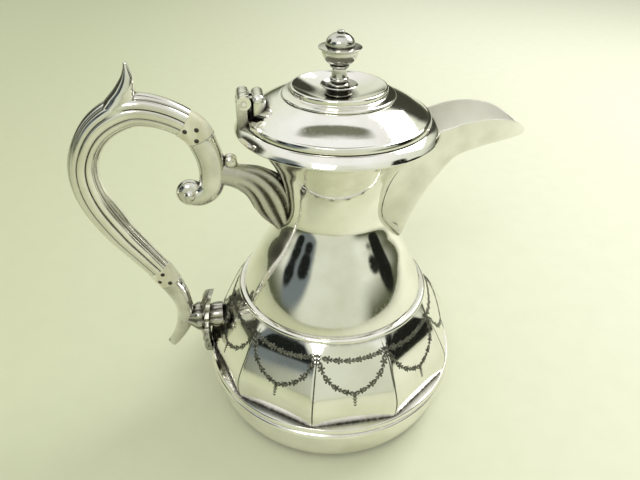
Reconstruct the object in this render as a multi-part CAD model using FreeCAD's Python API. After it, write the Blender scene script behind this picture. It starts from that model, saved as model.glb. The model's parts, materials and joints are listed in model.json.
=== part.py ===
import FreeCAD, Part
import math
import os

# Coffee pot with a panelled bowl, a waisted neck, a beak spout, a reeded handle and a hinged lid.
# Millimetres. Z is the axis of the pot, the foot rests on z = 0,
# the spout points along +X and the handle along -X.

V = FreeCAD.Vector

# Sheet and clearances
wall = 1.2
lid_gap = 0.3
hinge_gap = 0.3
pin_gap = 0.05

# Girdle, under-bowl and foot
girdle_radius = 75.0
girdle_width = 9.0
girdle_overhang = 2.5
girdle_bottom = 24.0
girdle_height = 9.0
foot_inset = 8.5

# Panelled bowl
panel_count = 10
girdle_ledge = 1.0
bowl_height = 43.0
bowl_top_radius = 53.8

# Shoulder ring, neck and rim
shoulder_bulge = 0.9
shoulder_height = 3.0
shoulder_step = 2.3
waist_radius = 26.5
waist_height = 126.0
neck_top = 171.0
rim_overhang = 5.1
rim_height = 6.0
rim_seat_width = 0.6

# Strainer holes through the neck behind the spout
strainer_hole = 3.4
strainer_pitch = 6.0
strainer_rows = 5
strainer_bottom = 131.0

# Spout
spout_reach = 99.6
spout_tip_height = 165.4
spout_tip_depth = 1.8
spout_half_width = 14.0
spout_root_height = 104.5
spout_root_length = 9.5

# Handle
grip_thickness = 15.2
grip_width = 13.6
reed_depth = 0.1
collar_length = 11.0
tenon_radius = 4.0
tenon_root = 2.0
collar_pin_radius = 0.9
collar_pin_proud = 0.4
scroll_ball_radius = 6.2
arm_knob_radius = 3.7

# Lid
lid_radius = 45.0
lid_border = 2.4
lid_rise = 10.7
cap_radius = 27.2
cap_top_radius = 22.6
cap_rise = 4.5
bezel_inset = 3.5
bezel_clearance = 1.7
bezel_depth = 4.0
seat_hole_radius = 20.0

# Hinge
hinge_inset = 0.1
hinge_rise = 10.5
hinge_half_width = 8.0
knuckle_count = 5
knuckle_radius = 3.2
hinge_pin_radius = 1.0
hinge_pin_proud = 0.4
hinge_post_depth = 4.5
hinge_web = 3.0
cushion_thickness = 6.6

# Knob on the lid
stud_radius = 2.0
stud_below_lid = 3.4
knob_foot_radius = 6.2
knob_saucer_radius = 9.0
knob_foot_height = 3.4
knob_stem_radius = 4.2
knob_stem_height = 10.6
knob_urn_radius = 8.4
knob_flange_radius = 10.0
knob_urn_height = 8.0
knob_cap_radius = 6.6
knob_cap_height = 7.0
nut_across_flats = 8.0
nut_height = 2.4

# Radii and heights that follow from the sizes above
under_bowl_radius = girdle_radius - girdle_overhang
foot_radius = under_bowl_radius - foot_inset
bowl_radius = girdle_radius - girdle_ledge
girdle_inner_radius = girdle_radius - girdle_width
neck_foot_radius = bowl_top_radius - shoulder_step
rim_radius = lid_radius + rim_overhang
rim_seat_radius = lid_radius + rim_seat_width
neck_top_radius = rim_seat_radius + 0.4
bezel_radius = lid_radius - bezel_inset
rim_bore = bezel_radius + bezel_clearance
hinge_x = hinge_inset - lid_radius
girdle_top = girdle_bottom + girdle_height
bowl_top = girdle_top + bowl_height
neck_bottom = bowl_top + shoulder_height
rim_top = neck_top + rim_height
lid_seat = rim_top + lid_gap
lid_crown = lid_seat + lid_rise
cap_top = lid_crown + cap_rise
hinge_height = lid_seat + hinge_rise
hinge_back = hinge_x - knuckle_radius
hinge_post_front = hinge_back + hinge_post_depth
knob_stem_bottom = lid_crown + knob_foot_height
knob_urn_bottom = knob_stem_bottom + knob_stem_height
knob_cap_bottom = knob_urn_bottom + knob_urn_height


def line(start, end):
    return Part.LineSegment(start, end).toShape()


def curve(points):
    spline = Part.BSplineCurve()
    spline.interpolate(points)
    return spline.toShape()


def run_edges(start, runs):
    """Edges of a closed outline: a run of one point is straight, a longer run is a smooth curve."""
    edges = []
    at = start
    for run in runs:
        points = [at] + run
        if len(points) == 2:
            edges.append(line(points[0], points[1]))
        else:
            edges.append(curve(points))
        at = points[-1]
    edges.append(line(at, start))
    return edges


def spun(start, *runs):
    """Solid of revolution about Z from an outline of (radius, height) points."""
    edges = run_edges(V(start[0], 0, start[1]), [[V(r, 0, z) for r, z in run] for run in runs])
    return Part.Face(Part.Wire(edges)).revolve(V(0, 0, 0), V(0, 0, 1), 360)


def plate_xz(start, half_width, *runs):
    """Plate with an outline in X and Z, as thick as twice half_width along Y."""
    placed = [[V(x, -half_width, z) for x, z in run] for run in runs]
    edges = run_edges(V(start[0], -half_width, start[1]), placed)
    return Part.Face(Part.Wire(edges)).extrude(V(0, 2 * half_width, 0))


def rod_y(x, z, radius, low, high):
    return Part.makeCylinder(radius, high - low, V(x, low, z), V(0, 1, 0))


def lerp(low, high, share):
    return low + (high - low) * share


def largest(shape):
    return max(shape.Solids, key=lambda solid: solid.Volume)


# Under-bowl, girdle and panelled bowl

def base_bowl():
    middle = girdle_bottom / 2
    belly = under_bowl_radius - 0.6
    turn = foot_radius + 0.54 * foot_inset
    low = 0.15 * girdle_bottom
    outer = [(turn, low), (belly, middle), (under_bowl_radius, girdle_bottom)]
    inner = [(belly - wall, middle), (turn - 0.8 - wall, low + 0.8), (foot_radius - wall, wall)]
    edge = [(under_bowl_radius - wall, girdle_bottom)]
    return spun((0, 0), [(foot_radius, 0)], outer, edge, inner, [(0, wall)])


def girdle_ring():
    quirk = girdle_bottom + 0.56 * girdle_height
    lower_bead = [
        (girdle_radius - 0.6, lerp(girdle_bottom, quirk, 0.18)),
        (girdle_radius, lerp(girdle_bottom, quirk, 0.52)),
        (girdle_radius - 0.8, lerp(girdle_bottom, quirk, 0.88)),
    ]
    upper_bead = [
        (girdle_radius - 0.7, lerp(quirk, girdle_top, 0.24)),
        (girdle_radius - 0.4, lerp(quirk, girdle_top, 0.58)),
        (girdle_radius - 1.2, girdle_top),
    ]
    return spun(
        (girdle_inner_radius, girdle_bottom),
        [(under_bowl_radius, girdle_bottom)],
        lower_bead,
        [(girdle_radius - 1.8, quirk)],
        upper_bead,
        [(girdle_inner_radius, girdle_top)],
    )


def panel_ring(crease_radius, height):
    """Regular polygon with a corner on the spout side."""
    turns = [2 * math.pi * k / panel_count for k in range(panel_count)]
    corners = [V(crease_radius * math.cos(turn), crease_radius * math.sin(turn), height) for turn in turns]
    return Part.makePolygon(corners + corners[:1])


def bowl_points(shares):
    """(radius, height) points from shares of the bowl's swell and of its height."""
    swell = bowl_radius - bowl_top_radius
    return [(bowl_top_radius + swell * out, girdle_top + bowl_height * up) for out, up in shares]


def panel_profile():
    """Crease line of the bowl: nearly upright at the girdle, a tight bend, then a long slope."""
    lower = [(0.95, 0.0), (1.0, 0.16), (0.985, 0.27), (0.91, 0.38)]
    return bowl_points(lower + [(0.735, 0.54), (0.47, 0.75), (0.17, 0.92), (0.0, 1.0)])


def round_shoulder(inset):
    """Turned shape that rounds the creases off just below the shoulder ring."""
    outside = bowl_radius + girdle_ledge
    line_points = bowl_points([(0.375, 0.814), (0.125, 0.92), (-0.07, 1.0)])
    fade = [(radius - inset, height) for radius, height in line_points]
    drum = [[(outside, girdle_top)], [(outside, fade[0][1])]]
    return spun((0, girdle_top), *drum, [fade[0]], fade[1:], [(0, bowl_top)])


def panel_solid(inset):
    corner_inset = inset / math.cos(math.pi / panel_count)
    rings = [panel_ring(radius - corner_inset, height) for radius, height in panel_profile()]
    return Part.makeLoft(rings, True, False).common(round_shoulder(inset))


def panelled_bowl(envelope):
    return envelope.cut(panel_solid(wall))


# Shoulder ring, neck and rim

def shoulder_ring():
    inner = neck_foot_radius - wall - 0.7
    middle = bowl_top + shoulder_height / 2
    bead = [(bowl_top_radius + shoulder_bulge, middle), (bowl_top_radius - 0.6, neck_bottom)]
    return spun((inner, bowl_top), [(bowl_top_radius, bowl_top)], bead, [(inner, neck_bottom)])


def neck_outline(inset):
    """Outer line of the neck from the shoulder to the rim, moved inwards by the inset."""
    below = [(1.0, 1.0), (0.82, 0.766), (0.54, 0.49), (0.22, 0.234)]
    above = [(0.05, 0.311), (0.256, 0.578), (0.59, 0.8), (1.0, 1.0)]
    points = []
    for out, down in below:
        points.append((lerp(waist_radius, neck_foot_radius, out), lerp(waist_height, neck_bottom, down)))
    points.append((waist_radius, waist_height))
    for out, up in above:
        points.append((lerp(waist_radius, neck_top_radius, out), lerp(waist_height, neck_top, up)))
    return [(radius - inset, height) for radius, height in points]


def neck_solid():
    outer = neck_outline(0)
    return spun((0, neck_bottom), [outer[0]], outer[1:], [(0, neck_top)])


def neck():
    outer = neck_outline(0)
    inner = neck_outline(wall)[::-1]
    shell = spun(outer[0], outer[1:], [inner[0]], inner[1:])
    return shell.cut(Part.makeCompound(strainer_drills()))


def strainer_drills():
    drills = []
    for row in range(strainer_rows):
        holes = 3 - row % 2
        for hole in range(holes):
            y = (hole - (holes - 1) / 2) * strainer_pitch
            z = strainer_bottom + row * strainer_pitch * 0.87
            drills.append(Part.makeCylinder(strainer_hole / 2, neck_top_radius, V(0, y, z), V(1, 0, 0)))
    return drills


def rim_outline_top():
    """Convex top of the rim moulding from its outer edge up to the seat of the lid."""
    return [
        (lerp(rim_radius, rim_seat_radius, 0.12), neck_top + 0.42 * rim_height),
        (lerp(rim_radius, rim_seat_radius, 0.45), neck_top + 0.72 * rim_height),
        (rim_seat_radius, rim_top),
    ]


def rim_ring():
    return spun(
        (rim_bore, neck_top),
        [(neck_top_radius, neck_top)],
        [(rim_radius - 1.2, neck_top + 0.12 * rim_height), (rim_radius, neck_top + 0.26 * rim_height)],
        rim_outline_top(),
        [(rim_bore, rim_top)],
    )


# Spout

def spout_stations():
    """(x, half width, lip height, keel height) of the open channel from neck to tip."""
    root = waist_radius + spout_root_length
    keel_end = spout_tip_height - spout_tip_depth
    shares = [
        (0.0, 1.107, 6.1, 0.0),
        (0.0943, 1.071, 6.6, 0.305),
        (0.2201, 1.029, 7.8, 0.584),
        (0.3774, 1.0, 10.6, 0.821),
        (0.566, 0.95, 11.6, 0.905),
        (0.7547, 0.814, 9.9, 0.953),
        (0.8805, 0.543, 5.9, 0.976),
        (0.9591, 0.257, 2.2, 0.99),
        (1.0, 0.093, 0.0, 1.0),
    ]
    stations = []
    for along, wide, lip_rise, keel_rise in shares:
        keel = lerp(spout_root_height, keel_end, keel_rise)
        x = lerp(root, spout_reach, along)
        stations.append((x, spout_half_width * wide, spout_tip_height + lip_rise, keel))
    return stations


def channel_section(x, half, lip, keel):
    """Closed section across the spout: straight across the lips and a rounded V below."""
    flank = lip - 0.55 * (lip - keel)
    edges = []
    for side in (1, -1):
        corner = V(x, side * half, lip)
        poles = [corner, V(x, side * half, flank), V(x, side * 0.62 * half, keel), V(x, 0, keel)]
        if side < 0:
            poles.reverse()
        bezier = Part.BezierCurve()
        bezier.setPoles(poles)
        edges.append(bezier.toShape())
    edges.append(line(V(x, -half, lip), V(x, half, lip)))
    return Part.Wire(edges)


def spout_inside_stations():
    """Stations of the channel's inside, thinner by the wall measured square to the keel."""
    stations = spout_stations()
    inside = []
    for number, (x, half, lip, keel) in enumerate(stations[:-1]):
        before = stations[max(number - 1, 0)]
        after = stations[number + 1]
        slope = (after[3] - before[3]) / (after[0] - before[0])
        inside.append((x, half - wall, lip + wall, keel + wall * math.hypot(1, slope)))
    return inside


def channel_solid(stations):
    body = Part.makeLoft([channel_section(*station) for station in stations], True, False)
    first = stations[0]
    root = Part.Face(channel_section(*first)).extrude(V(-first[0], 0, 0))
    return body.fuse(root)


def spout(neck_core, rim_core):
    shell = channel_solid(spout_stations()).cut(channel_solid(spout_inside_stations()))
    return largest(shell.cut(neck_core).cut(rim_core))


# Handle: one centre line from the scroll ball over the top and down to the tail

def handle_point(out, rise):
    """Point of the handle: out from the side of the bowl, and a share of the height from girdle to rim."""
    return V(-bowl_radius - out, 0, lerp(girdle_top, neck_top, rise))


ball_centre = handle_point(2.8, 0.7826)
scroll_bend = handle_point(-11.6, 0.8623)
upper_joint = handle_point(-5.0, 1.0217)
grip_top = handle_point(23.0, 1.0957)
lower_joint = handle_point(20.5, 0.4167)
scroll_points = [ball_centre, handle_point(-4.0, 0.7667), handle_point(-9.8, 0.7971), scroll_bend]
scroll_points.append(handle_point(-10.2, 0.942))
grip_points = [handle_point(9.0, 1.0841), grip_top, handle_point(38.0, 1.0348), handle_point(47.3, 0.9203)]
grip_points += [handle_point(47.3, 0.7971), handle_point(38.4, 0.6377), handle_point(29.4, 0.5261)]
tail_points = [handle_point(14.6, 0.3116), handle_point(12.8, 0.2101), handle_point(16.0, 0.1232)]
tail_points.append(handle_point(23.5, 0.042))
handle_line = Part.BSplineCurve()
handle_line.interpolate(scroll_points + [upper_joint] + grip_points + [lower_joint] + tail_points)


def distance_to(point):
    return handle_line.length(handle_line.FirstParameter, handle_line.parameter(point))


upper_start = distance_to(upper_joint) - collar_length / 2
upper_end = upper_start + collar_length
lower_start = distance_to(lower_joint) - collar_length / 2
lower_end = lower_start + collar_length
handle_length = handle_line.length()


def place_at(distance):
    """Placement on the centre line: local X out of the loop, local Y across it, local Z along it."""
    parameter = handle_line.parameterAtDistance(distance, handle_line.FirstParameter)
    along = handle_line.tangent(parameter)[0]
    across = V(0, 1, 0)
    turn = FreeCAD.Rotation(across.cross(along), across, along, "ZYX")
    return FreeCAD.Placement(handle_line.value(parameter), turn)


def half_thickness(distance):
    """Half thickness of the handle in its own plane, fullest on the grip and tapering to both ends."""
    full = grip_thickness / 2
    stops = [
        (0.0, 0.74 * full),
        (0.5 * upper_start, 0.86 * full),
        (upper_start, 0.93 * full),
        (lerp(upper_end, lower_start, 0.2), 1.04 * full),
        (lerp(upper_end, lower_start, 0.4), 0.9 * full),
        (lerp(upper_end, lower_start, 0.7), 1.05 * full),
        (lower_start, 0.88 * full),
        (lerp(lower_end, handle_length, 0.5), 0.64 * full),
        (handle_length, 0.28 * full),
    ]
    for (near, low), (far, high) in zip(stops, stops[1:]):
        if distance <= far:
            return lerp(low, high, (distance - near) / (far - near))
    return stops[-1][1]


def half_width(distance):
    return half_thickness(distance) * grip_width / grip_thickness


def plain_section(distance):
    placed = place_at(distance)
    high = half_thickness(distance)
    wide = half_width(distance)
    quarter = [V(high, 0, 0), V(0, wide, 0), V(-high, 0, 0), V(0, -wide, 0)]
    spline = Part.BSplineCurve()
    spline.interpolate(quarter, True)
    wire = Part.Wire([spline.toShape()])
    wire.Placement = placed
    return wire


def reeded_section(distance):
    """Section of the grip: broad reeds outside and inside the loop and three narrow reeds on each flank."""
    high = half_thickness(distance)
    wide = half_width(distance)
    turn = math.radians(36)
    valleys = [turn * step for step in (-1, 1, 2, 3, 4, 6, 7, 8, 9)]
    low = 1 - reed_depth
    edges = []
    for start, end in zip(valleys, valleys[1:]):
        marks = [(start, low), ((start + end) / 2, 1.0), (end, low)]
        points = []
        for angle, share in marks:
            points.append(V(high * share * math.cos(angle), wide * share * math.sin(angle), 0))
        edges.append(Part.Arc(*points).toShape())
    wire = Part.Wire(edges)
    wire.Placement = place_at(distance)
    return wire


def swept(section, start, end, count):
    steps = [lerp(start, end, step / (count - 1)) for step in range(count)]
    return Part.makeLoft([section(distance) for distance in steps], True, False)


def collar_pins(middle):
    """Three cross pins through a collar, two on one side of the middle line and one on the other."""
    placed = place_at(middle)
    reach = half_width(middle) + collar_pin_proud
    pins = []
    for out, along in ((-1.5, -3.4), (2.4, 0.0), (-1.5, 3.4)):
        centre = placed.multVec(V(out, 0, along))
        pins.append(rod_y(centre.x, centre.z, collar_pin_radius, -reach, reach))
    return Part.makeCompound(pins)


def collar_peg(middle, low, high):
    """Straight peg inside a collar between two distances from its middle."""
    placed = place_at(middle)
    placed.Base = placed.multVec(V(0, 0, low))
    peg = Part.makeCylinder(tenon_radius, high - low)
    peg.Placement = placed
    return peg


def collar(start, end, pins):
    reach = collar_length / 2 + tenon_root
    bore = collar_peg((start + end) / 2, -reach, reach)
    return swept(plain_section, start, end, 3).cut(bore).cut(pins)


def thumb_leaf(grip):
    """Leaf that grows out of the back of the grip and bends up to a point."""
    levels = [
        (4.5, -0.2, 14.0, 6.4),
        (3.3, 4.3, 11.0, 6.0),
        (1.0, 7.8, 7.8, 5.4),
        (-1.4, 11.0, 5.2, 4.8),
        (-3.0, 14.4, 3.4, 3.8),
        (-3.3, 18.0, 1.9, 2.6),
        (-3.1, 21.4, 0.8, 1.2),
    ]
    rings = []
    for back, up, deep, wide in levels:
        centre = grip_top + V(-back, 0, up)
        spline = Part.BSplineCurve()
        corners = [V(deep, 0, 0), V(0, wide, 0), V(-deep, 0, 0), V(0, -wide, 0)]
        spline.interpolate([centre + corner for corner in corners], True)
        rings.append(Part.Wire([spline.toShape()]))
    return largest(Part.makeLoft(rings, True, False).cut(grip))


# Brackets between the body and the handle

def arm_section(x, z, lean, high, wide):
    """Oval across the bracket arm, leaning by an angle from upright."""
    spline = Part.BSplineCurve()
    spline.interpolate([V(0, 0, high), V(0, wide, 0), V(0, 0, -high), V(0, -wide, 0)], True)
    wire = Part.Wire([spline.toShape()])
    wire.Placement = FreeCAD.Placement(V(x, 0, z), FreeCAD.Rotation(V(0, 1, 0), lean))
    return wire


def arm_point(along, rise):
    """(x, z) of the arm: a share of the way from handle to waist, and a share of the height between them."""
    return lerp(scroll_bend.x, -waist_radius, along), lerp(waist_height, scroll_bend.z, rise)


def upper_bracket(neck_core, socket):
    """Arm from the scroll to the neck, deepening into a leaf against the waist, with a knob on top."""
    stations = [
        (0.039, 0.942, 12, 6.6, 4.8),
        (0.29, 0.865, 20, 6.4, 4.6),
        (0.568, 0.704, 33, 9.0, 5.2),
        (0.819, 0.327, 50, 12.0, 6.6),
        (1.014, -0.231, 70, 8.0, 6.2),
        (1.111, -0.692, 78, 3.0, 3.6),
    ]
    rings = [arm_section(*arm_point(along, rise), *shape) for along, rise, *shape in stations]
    knob_x, knob_z = arm_point(0.256, 1.173)
    knob = Part.makeSphere(arm_knob_radius, V(knob_x, 0, knob_z))
    return largest(Part.makeLoft(rings, True, False).fuse(knob).cut(neck_core).cut(socket))


stem_height = lerp(girdle_top, bowl_top, 0.558)


def bowl_side(out, up):
    """(x, z) beside the bowl: out from its widest place and up from the stem of the lower bracket."""
    return -bowl_radius - out, stem_height + up


def lower_bracket(bowl_core, girdle, socket):
    """Bulbed stem from bowl to handle with a pointed leaf plate against the bowl."""
    sizes = [(16, 4.2), (11, 5.0), (5.5, 8.4), (0.5, 6.4), (-4, 7.4), (-14, 7.4)]
    stem = spun_x(stem_height, [(-bowl_radius - out, radius) for out, radius in sizes])
    front = [bowl_side(4, -13), bowl_side(3, 5), bowl_side(-1.4, 19.5)]
    back = [bowl_side(-1.6, 5), bowl_side(-4, -7), bowl_side(-4, -21)]
    foot = [bowl_side(3, -29.5)]
    head = [bowl_side(-3.6, 19.5)]
    blade = plate_xz(bowl_side(-0.4, -29.5), 10.0, foot, front, head, back)
    leaf = Part.Face(Part.Wire(leaf_outline())).extrude(V(-bowl_radius, 0, 0))
    return largest(stem.fuse(blade.common(leaf)).cut(bowl_core).cut(girdle).cut(socket))


def leaf_outline():
    """Pointed leaf in the plane across the handle, from its lower to its upper tip."""
    half = [(0, -30), (5.6, -19), (9.4, -2), (4.6, 11), (0, 20)]
    edges = []
    for side in (1, -1):
        points = [V(-bowl_radius / 2, side * wide, stem_height + up) for wide, up in half]
        edges.append(curve(points if side > 0 else points[::-1]))
    return edges


def spun_x(height, points):
    """Solid of revolution about a line along X at a height, from (x, radius) points."""
    line_points = [V(x, 0, height + radius) for x, radius in points]
    start = V(points[0][0], 0, height)
    end = V(points[-1][0], 0, height)
    edges = [line(start, line_points[0]), curve(line_points), line(line_points[-1], end), line(end, start)]
    return Part.Face(Part.Wire(edges)).revolve(start, V(1, 0, 0), 360)


# Hinge: knuckles on one pin, the odd ones on a post of the rim and the even ones on the lid

def knuckle_span(number, gap):
    """Low and high Y of one place on the barrel, made shorter by half a gap at each end."""
    pitch = 2 * hinge_half_width / knuckle_count
    low = -hinge_half_width + number * pitch
    return low + gap / 2, low + pitch - gap / 2


def barrel(first, radius, gap):
    """Every second knuckle of the barrel, counted from the first."""
    places = range(first, knuckle_count, 2)
    return [rod_y(hinge_x, hinge_height, radius, *knuckle_span(place, gap)) for place in places]


def pin_bore(gap):
    reach = hinge_half_width + hinge_pin_proud
    return rod_y(hinge_x, hinge_height, hinge_pin_radius + gap, -reach, reach)


def hinge_bracket(rim_core):
    """Post that stands on the rim and carries the odd knuckles."""
    low = neck_top + 0.4 * rim_height
    swell = [(hinge_back - 0.5, lerp(low, hinge_height, 0.55)), (hinge_back + 0.6, low)]
    front = hinge_post_front
    head = [(front, hinge_height)]
    post = plate_xz((front, low), hinge_half_width, head, [(hinge_back, hinge_height)], swell)
    post = post.cut(rim_core)
    for room in barrel(1, knuckle_radius + hinge_gap, -hinge_gap):
        post = post.cut(room)
    for knuckle in barrel(0, knuckle_radius, hinge_gap):
        post = post.fuse(knuckle)
    return largest(post.cut(pin_bore(0)))


def hinge_leaf(lid_core):
    """Smooth cushion on the lid beside the barrel, with a web to each even knuckle."""
    near = hinge_x + knuckle_radius + hinge_gap
    far = near + cushion_thickness
    crown = [((near + far) / 2, hinge_height + knuckle_radius), (far, hinge_height)]
    leaf = plate_xz((near, lid_seat), hinge_half_width, [(near, hinge_height)], crown, [(far, lid_seat)])
    leaf = leaf.cut(lid_core)
    for knuckle in barrel(1, knuckle_radius, hinge_gap):
        low = knuckle.BoundBox.YMin
        high = knuckle.BoundBox.YMax
        corner = V(hinge_x, low, hinge_height - hinge_web / 2)
        web = Part.makeBox(near - hinge_x + hinge_web / 2, high - low, hinge_web, corner)
        leaf = leaf.fuse(knuckle).fuse(web)
    return largest(leaf.cut(pin_bore(pin_gap)))


def hinge_pin():
    return pin_bore(0)


# Lid

def lid_outline():
    """Outer line of the lid from the top of its border to the seat of the cap."""
    edge = lid_radius - 1.4
    base = lid_seat + lid_border + 0.2
    shares = [(0.23, 0.3), (0.6, 0.7), (1.0, 1.0)]
    return [(lerp(edge, cap_radius + 0.6, into), lerp(base, lid_crown, up)) for into, up in shares]


def lid_border_runs():
    return [
        [(lid_radius, lid_seat)],
        [(lid_radius, lid_seat + 0.5 * lid_border)],
        [(lid_radius - 0.7, lid_seat + lid_border)],
        [(lid_radius - 1.4, lid_seat + lid_border + 0.2)],
        lid_outline(),
    ]


def lid_solid():
    return spun((0, lid_seat), *lid_border_runs(), [(0, lid_crown)])


def lid_dome():
    inner_edge = bezel_radius - wall
    under = [(radius - 0.6, height - wall) for radius, height in lid_outline()[::-1]]
    runs = lid_border_runs()
    runs += [[(seat_hole_radius, lid_crown)], [(seat_hole_radius, lid_crown - wall)], [under[0]]]
    runs.append(under[1:] + [(inner_edge, lid_seat + lid_border)])
    dome = spun((inner_edge, lid_seat), *runs)
    corner = V(hinge_post_front + hinge_gap - lid_radius, -lid_radius, lid_seat - lid_gap)
    return dome.cut(Part.makeBox(lid_radius, 2 * lid_radius, 2 * lid_rise, corner))


def lid_bezel():
    return spun(
        (bezel_radius - wall, lid_seat - bezel_depth),
        [(bezel_radius, lid_seat - bezel_depth)],
        [(bezel_radius, lid_seat)],
        [(bezel_radius - wall, lid_seat)],
    )


def lid_cap():
    seat = knob_foot_radius + 1.8
    return spun(
        (stud_radius, lid_crown - wall),
        [(seat, lid_crown - wall)],
        [(seat_hole_radius - 0.2, lid_crown)],
        [(cap_radius, lid_crown)],
        [(cap_radius - 0.2, lid_crown + 0.9), (cap_radius - 1.2, lid_crown + 1.3)],
        [(cap_top_radius + 1.4, lid_crown + 1.6)],
        [(cap_top_radius + 0.7, lid_crown + 2.2)],
        [(cap_top_radius + 0.7, cap_top - 0.9)],
        [(cap_top_radius, cap_top), (cap_top_radius - 1.2, cap_top - 0.3)],
        [(lerp(seat, cap_top_radius, 0.45), lid_crown + 1.3), (seat, lid_crown)],
        [(stud_radius, lid_crown)],
    )


# Knob on the lid

def finial_foot():
    return spun(
        (stud_radius, lid_crown),
        [(knob_foot_radius, lid_crown)],
        [(knob_foot_radius + 0.3, lid_crown + 0.6), (knob_foot_radius - 0.9, lid_crown + 1.5)],
        [(knob_foot_radius + 0.2, lid_crown + 2.6), (knob_saucer_radius, lid_crown + 4.6)],
        [(knob_saucer_radius - 0.5, lid_crown + 5.0)],
        [(knob_foot_radius, knob_stem_bottom + 0.5), (knob_stem_radius, knob_stem_bottom)],
        [(stud_radius, knob_stem_bottom)],
    )


def finial_stem():
    low = knob_stem_bottom
    thin = knob_stem_radius - 0.8
    ring = knob_stem_height * 0.22
    runs = [[(knob_stem_radius, low)]]
    for step in range(2):
        base = low + step * ring
        runs.append([(knob_stem_radius + 0.8 - 0.5 * step, base + 0.5 * ring), (thin + 0.3, base + ring)])
    runs.append([(thin, knob_urn_bottom - 0.5 * ring - 1.6)])
    runs.append([(thin, knob_urn_bottom - 0.5 * ring - 0.6)])
    top_ring = (knob_stem_radius + 0.3, knob_urn_bottom - 0.4 * ring)
    runs.append([top_ring, (knob_stem_radius - 0.3, knob_urn_bottom)])
    runs.append([(stud_radius, knob_urn_bottom)])
    return spun((stud_radius, low), *runs)


def finial_urn():
    rise = knob_urn_height
    bowl = [
        (lerp(knob_stem_radius, knob_urn_radius, 0.6), knob_urn_bottom + 0.2 * rise),
        (knob_urn_radius - 0.2, knob_urn_bottom + 0.55 * rise),
        (knob_urn_radius, knob_urn_bottom + 0.82 * rise),
    ]
    return spun(
        (stud_radius, knob_urn_bottom),
        [(knob_stem_radius - 0.3, knob_urn_bottom)],
        bowl,
        [(knob_flange_radius, knob_cap_bottom - 1.0)],
        [(knob_flange_radius, knob_cap_bottom - 0.4)],
        [(knob_cap_radius + 0.4, knob_cap_bottom)],
        [(stud_radius, knob_cap_bottom)],
    )


def finial_cap():
    rise = knob_cap_height
    dome = [
        (0.94 * knob_cap_radius, knob_cap_bottom + 0.37 * rise),
        (0.6 * knob_cap_radius, knob_cap_bottom + 0.68 * rise),
        (0.2 * knob_cap_radius, knob_cap_bottom + 0.8 * rise),
    ]
    bead = [(0.24 * knob_cap_radius, knob_cap_bottom + 0.91 * rise), (0, knob_cap_bottom + rise)]
    return spun((0, knob_cap_bottom), [(knob_cap_radius, knob_cap_bottom)], dome, bead)


def finial_stud():
    low = lid_crown - wall - stud_below_lid
    return Part.makeCylinder(stud_radius, knob_cap_bottom - low, V(0, 0, low))


def finial_nut():
    corner = nut_across_flats / math.sqrt(3)
    turns = [k * math.pi / 3 for k in range(7)]
    corners = [V(corner * math.cos(turn), corner * math.sin(turn), 0) for turn in turns]
    nut = Part.Face(Part.makePolygon(corners)).extrude(V(0, 0, nut_height))
    nut.translate(V(0, 0, lid_crown - wall - nut_height))
    low = lid_crown - wall - nut_height - 1
    return nut.cut(Part.makeCylinder(stud_radius, nut_height + 2, V(0, 0, low)))


def build():
    neck_core = neck_solid()
    rim = rim_ring()
    rim_core = rim.fuse(Part.makeCylinder(rim_bore, rim_height, V(0, 0, neck_top)))
    bowl_core = panel_solid(0)
    girdle = girdle_ring()
    lid_core = lid_solid()
    upper_middle = (upper_start + upper_end) / 2
    lower_middle = (lower_start + lower_end) / 2
    upper_pins = collar_pins(upper_middle)
    lower_pins = collar_pins(lower_middle)
    peg_reach = collar_length / 2 + tenon_root
    peg_gap = 0.2
    grip = swept(reeded_section, upper_end, lower_start, 16)
    grip = grip.fuse(collar_peg(upper_middle, peg_gap, peg_reach))
    grip = grip.fuse(collar_peg(lower_middle, -peg_reach, -peg_gap)).cut(upper_pins).cut(lower_pins)
    upper = swept(plain_section, 0, upper_start, 9).fuse(Part.makeSphere(scroll_ball_radius, ball_centre))
    upper = upper.fuse(collar_peg(upper_middle, -peg_reach, -peg_gap)).cut(upper_pins)
    lower = swept(plain_section, lower_end, handle_length, 7)
    lower = lower.fuse(collar_peg(lower_middle, peg_gap, peg_reach)).cut(lower_pins)
    return {
        "base_bowl": base_bowl(),
        "girdle_ring": girdle,
        "panelled_bowl": panelled_bowl(bowl_core),
        "shoulder_ring": shoulder_ring(),
        "neck": neck(),
        "rim_ring": rim,
        "spout": spout(neck_core, rim_core),
        "upper_bracket": upper_bracket(neck_core, upper),
        "upper_socket": upper,
        "upper_insulator": collar(upper_start, upper_end, upper_pins),
        "handle_grip": grip,
        "thumb_leaf": thumb_leaf(grip),
        "lower_insulator": collar(lower_start, lower_end, lower_pins),
        "lower_socket": lower,
        "lower_bracket": lower_bracket(bowl_core, girdle, lower),
        "insulator_pins": Part.makeCompound([upper_pins, lower_pins]),
        "hinge_bracket": hinge_bracket(rim_core),
        "hinge_pin": hinge_pin(),
        "lid_dome": lid_dome(),
        "lid_bezel": lid_bezel(),
        "lid_cap": lid_cap(),
        "hinge_leaf": hinge_leaf(lid_core),
        "finial_foot": finial_foot(),
        "finial_stem": finial_stem(),
        "finial_urn": finial_urn(),
        "finial_cap": finial_cap(),
        "finial_stud": finial_stud(),
        "finial_nut": finial_nut(),
    }


os.makedirs("parts", exist_ok=True)
for node, shape in build().items():
    print(node, "valid" if shape.isValid() else "NOT VALID", len(shape.Solids), round(shape.Volume, 1))
    shape.exportStep("parts/" + node + ".step")
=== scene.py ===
import json
import math

import bmesh
import bpy
from mathutils import Matrix, Vector
from mathutils.geometry import interpolate_bezier


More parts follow.
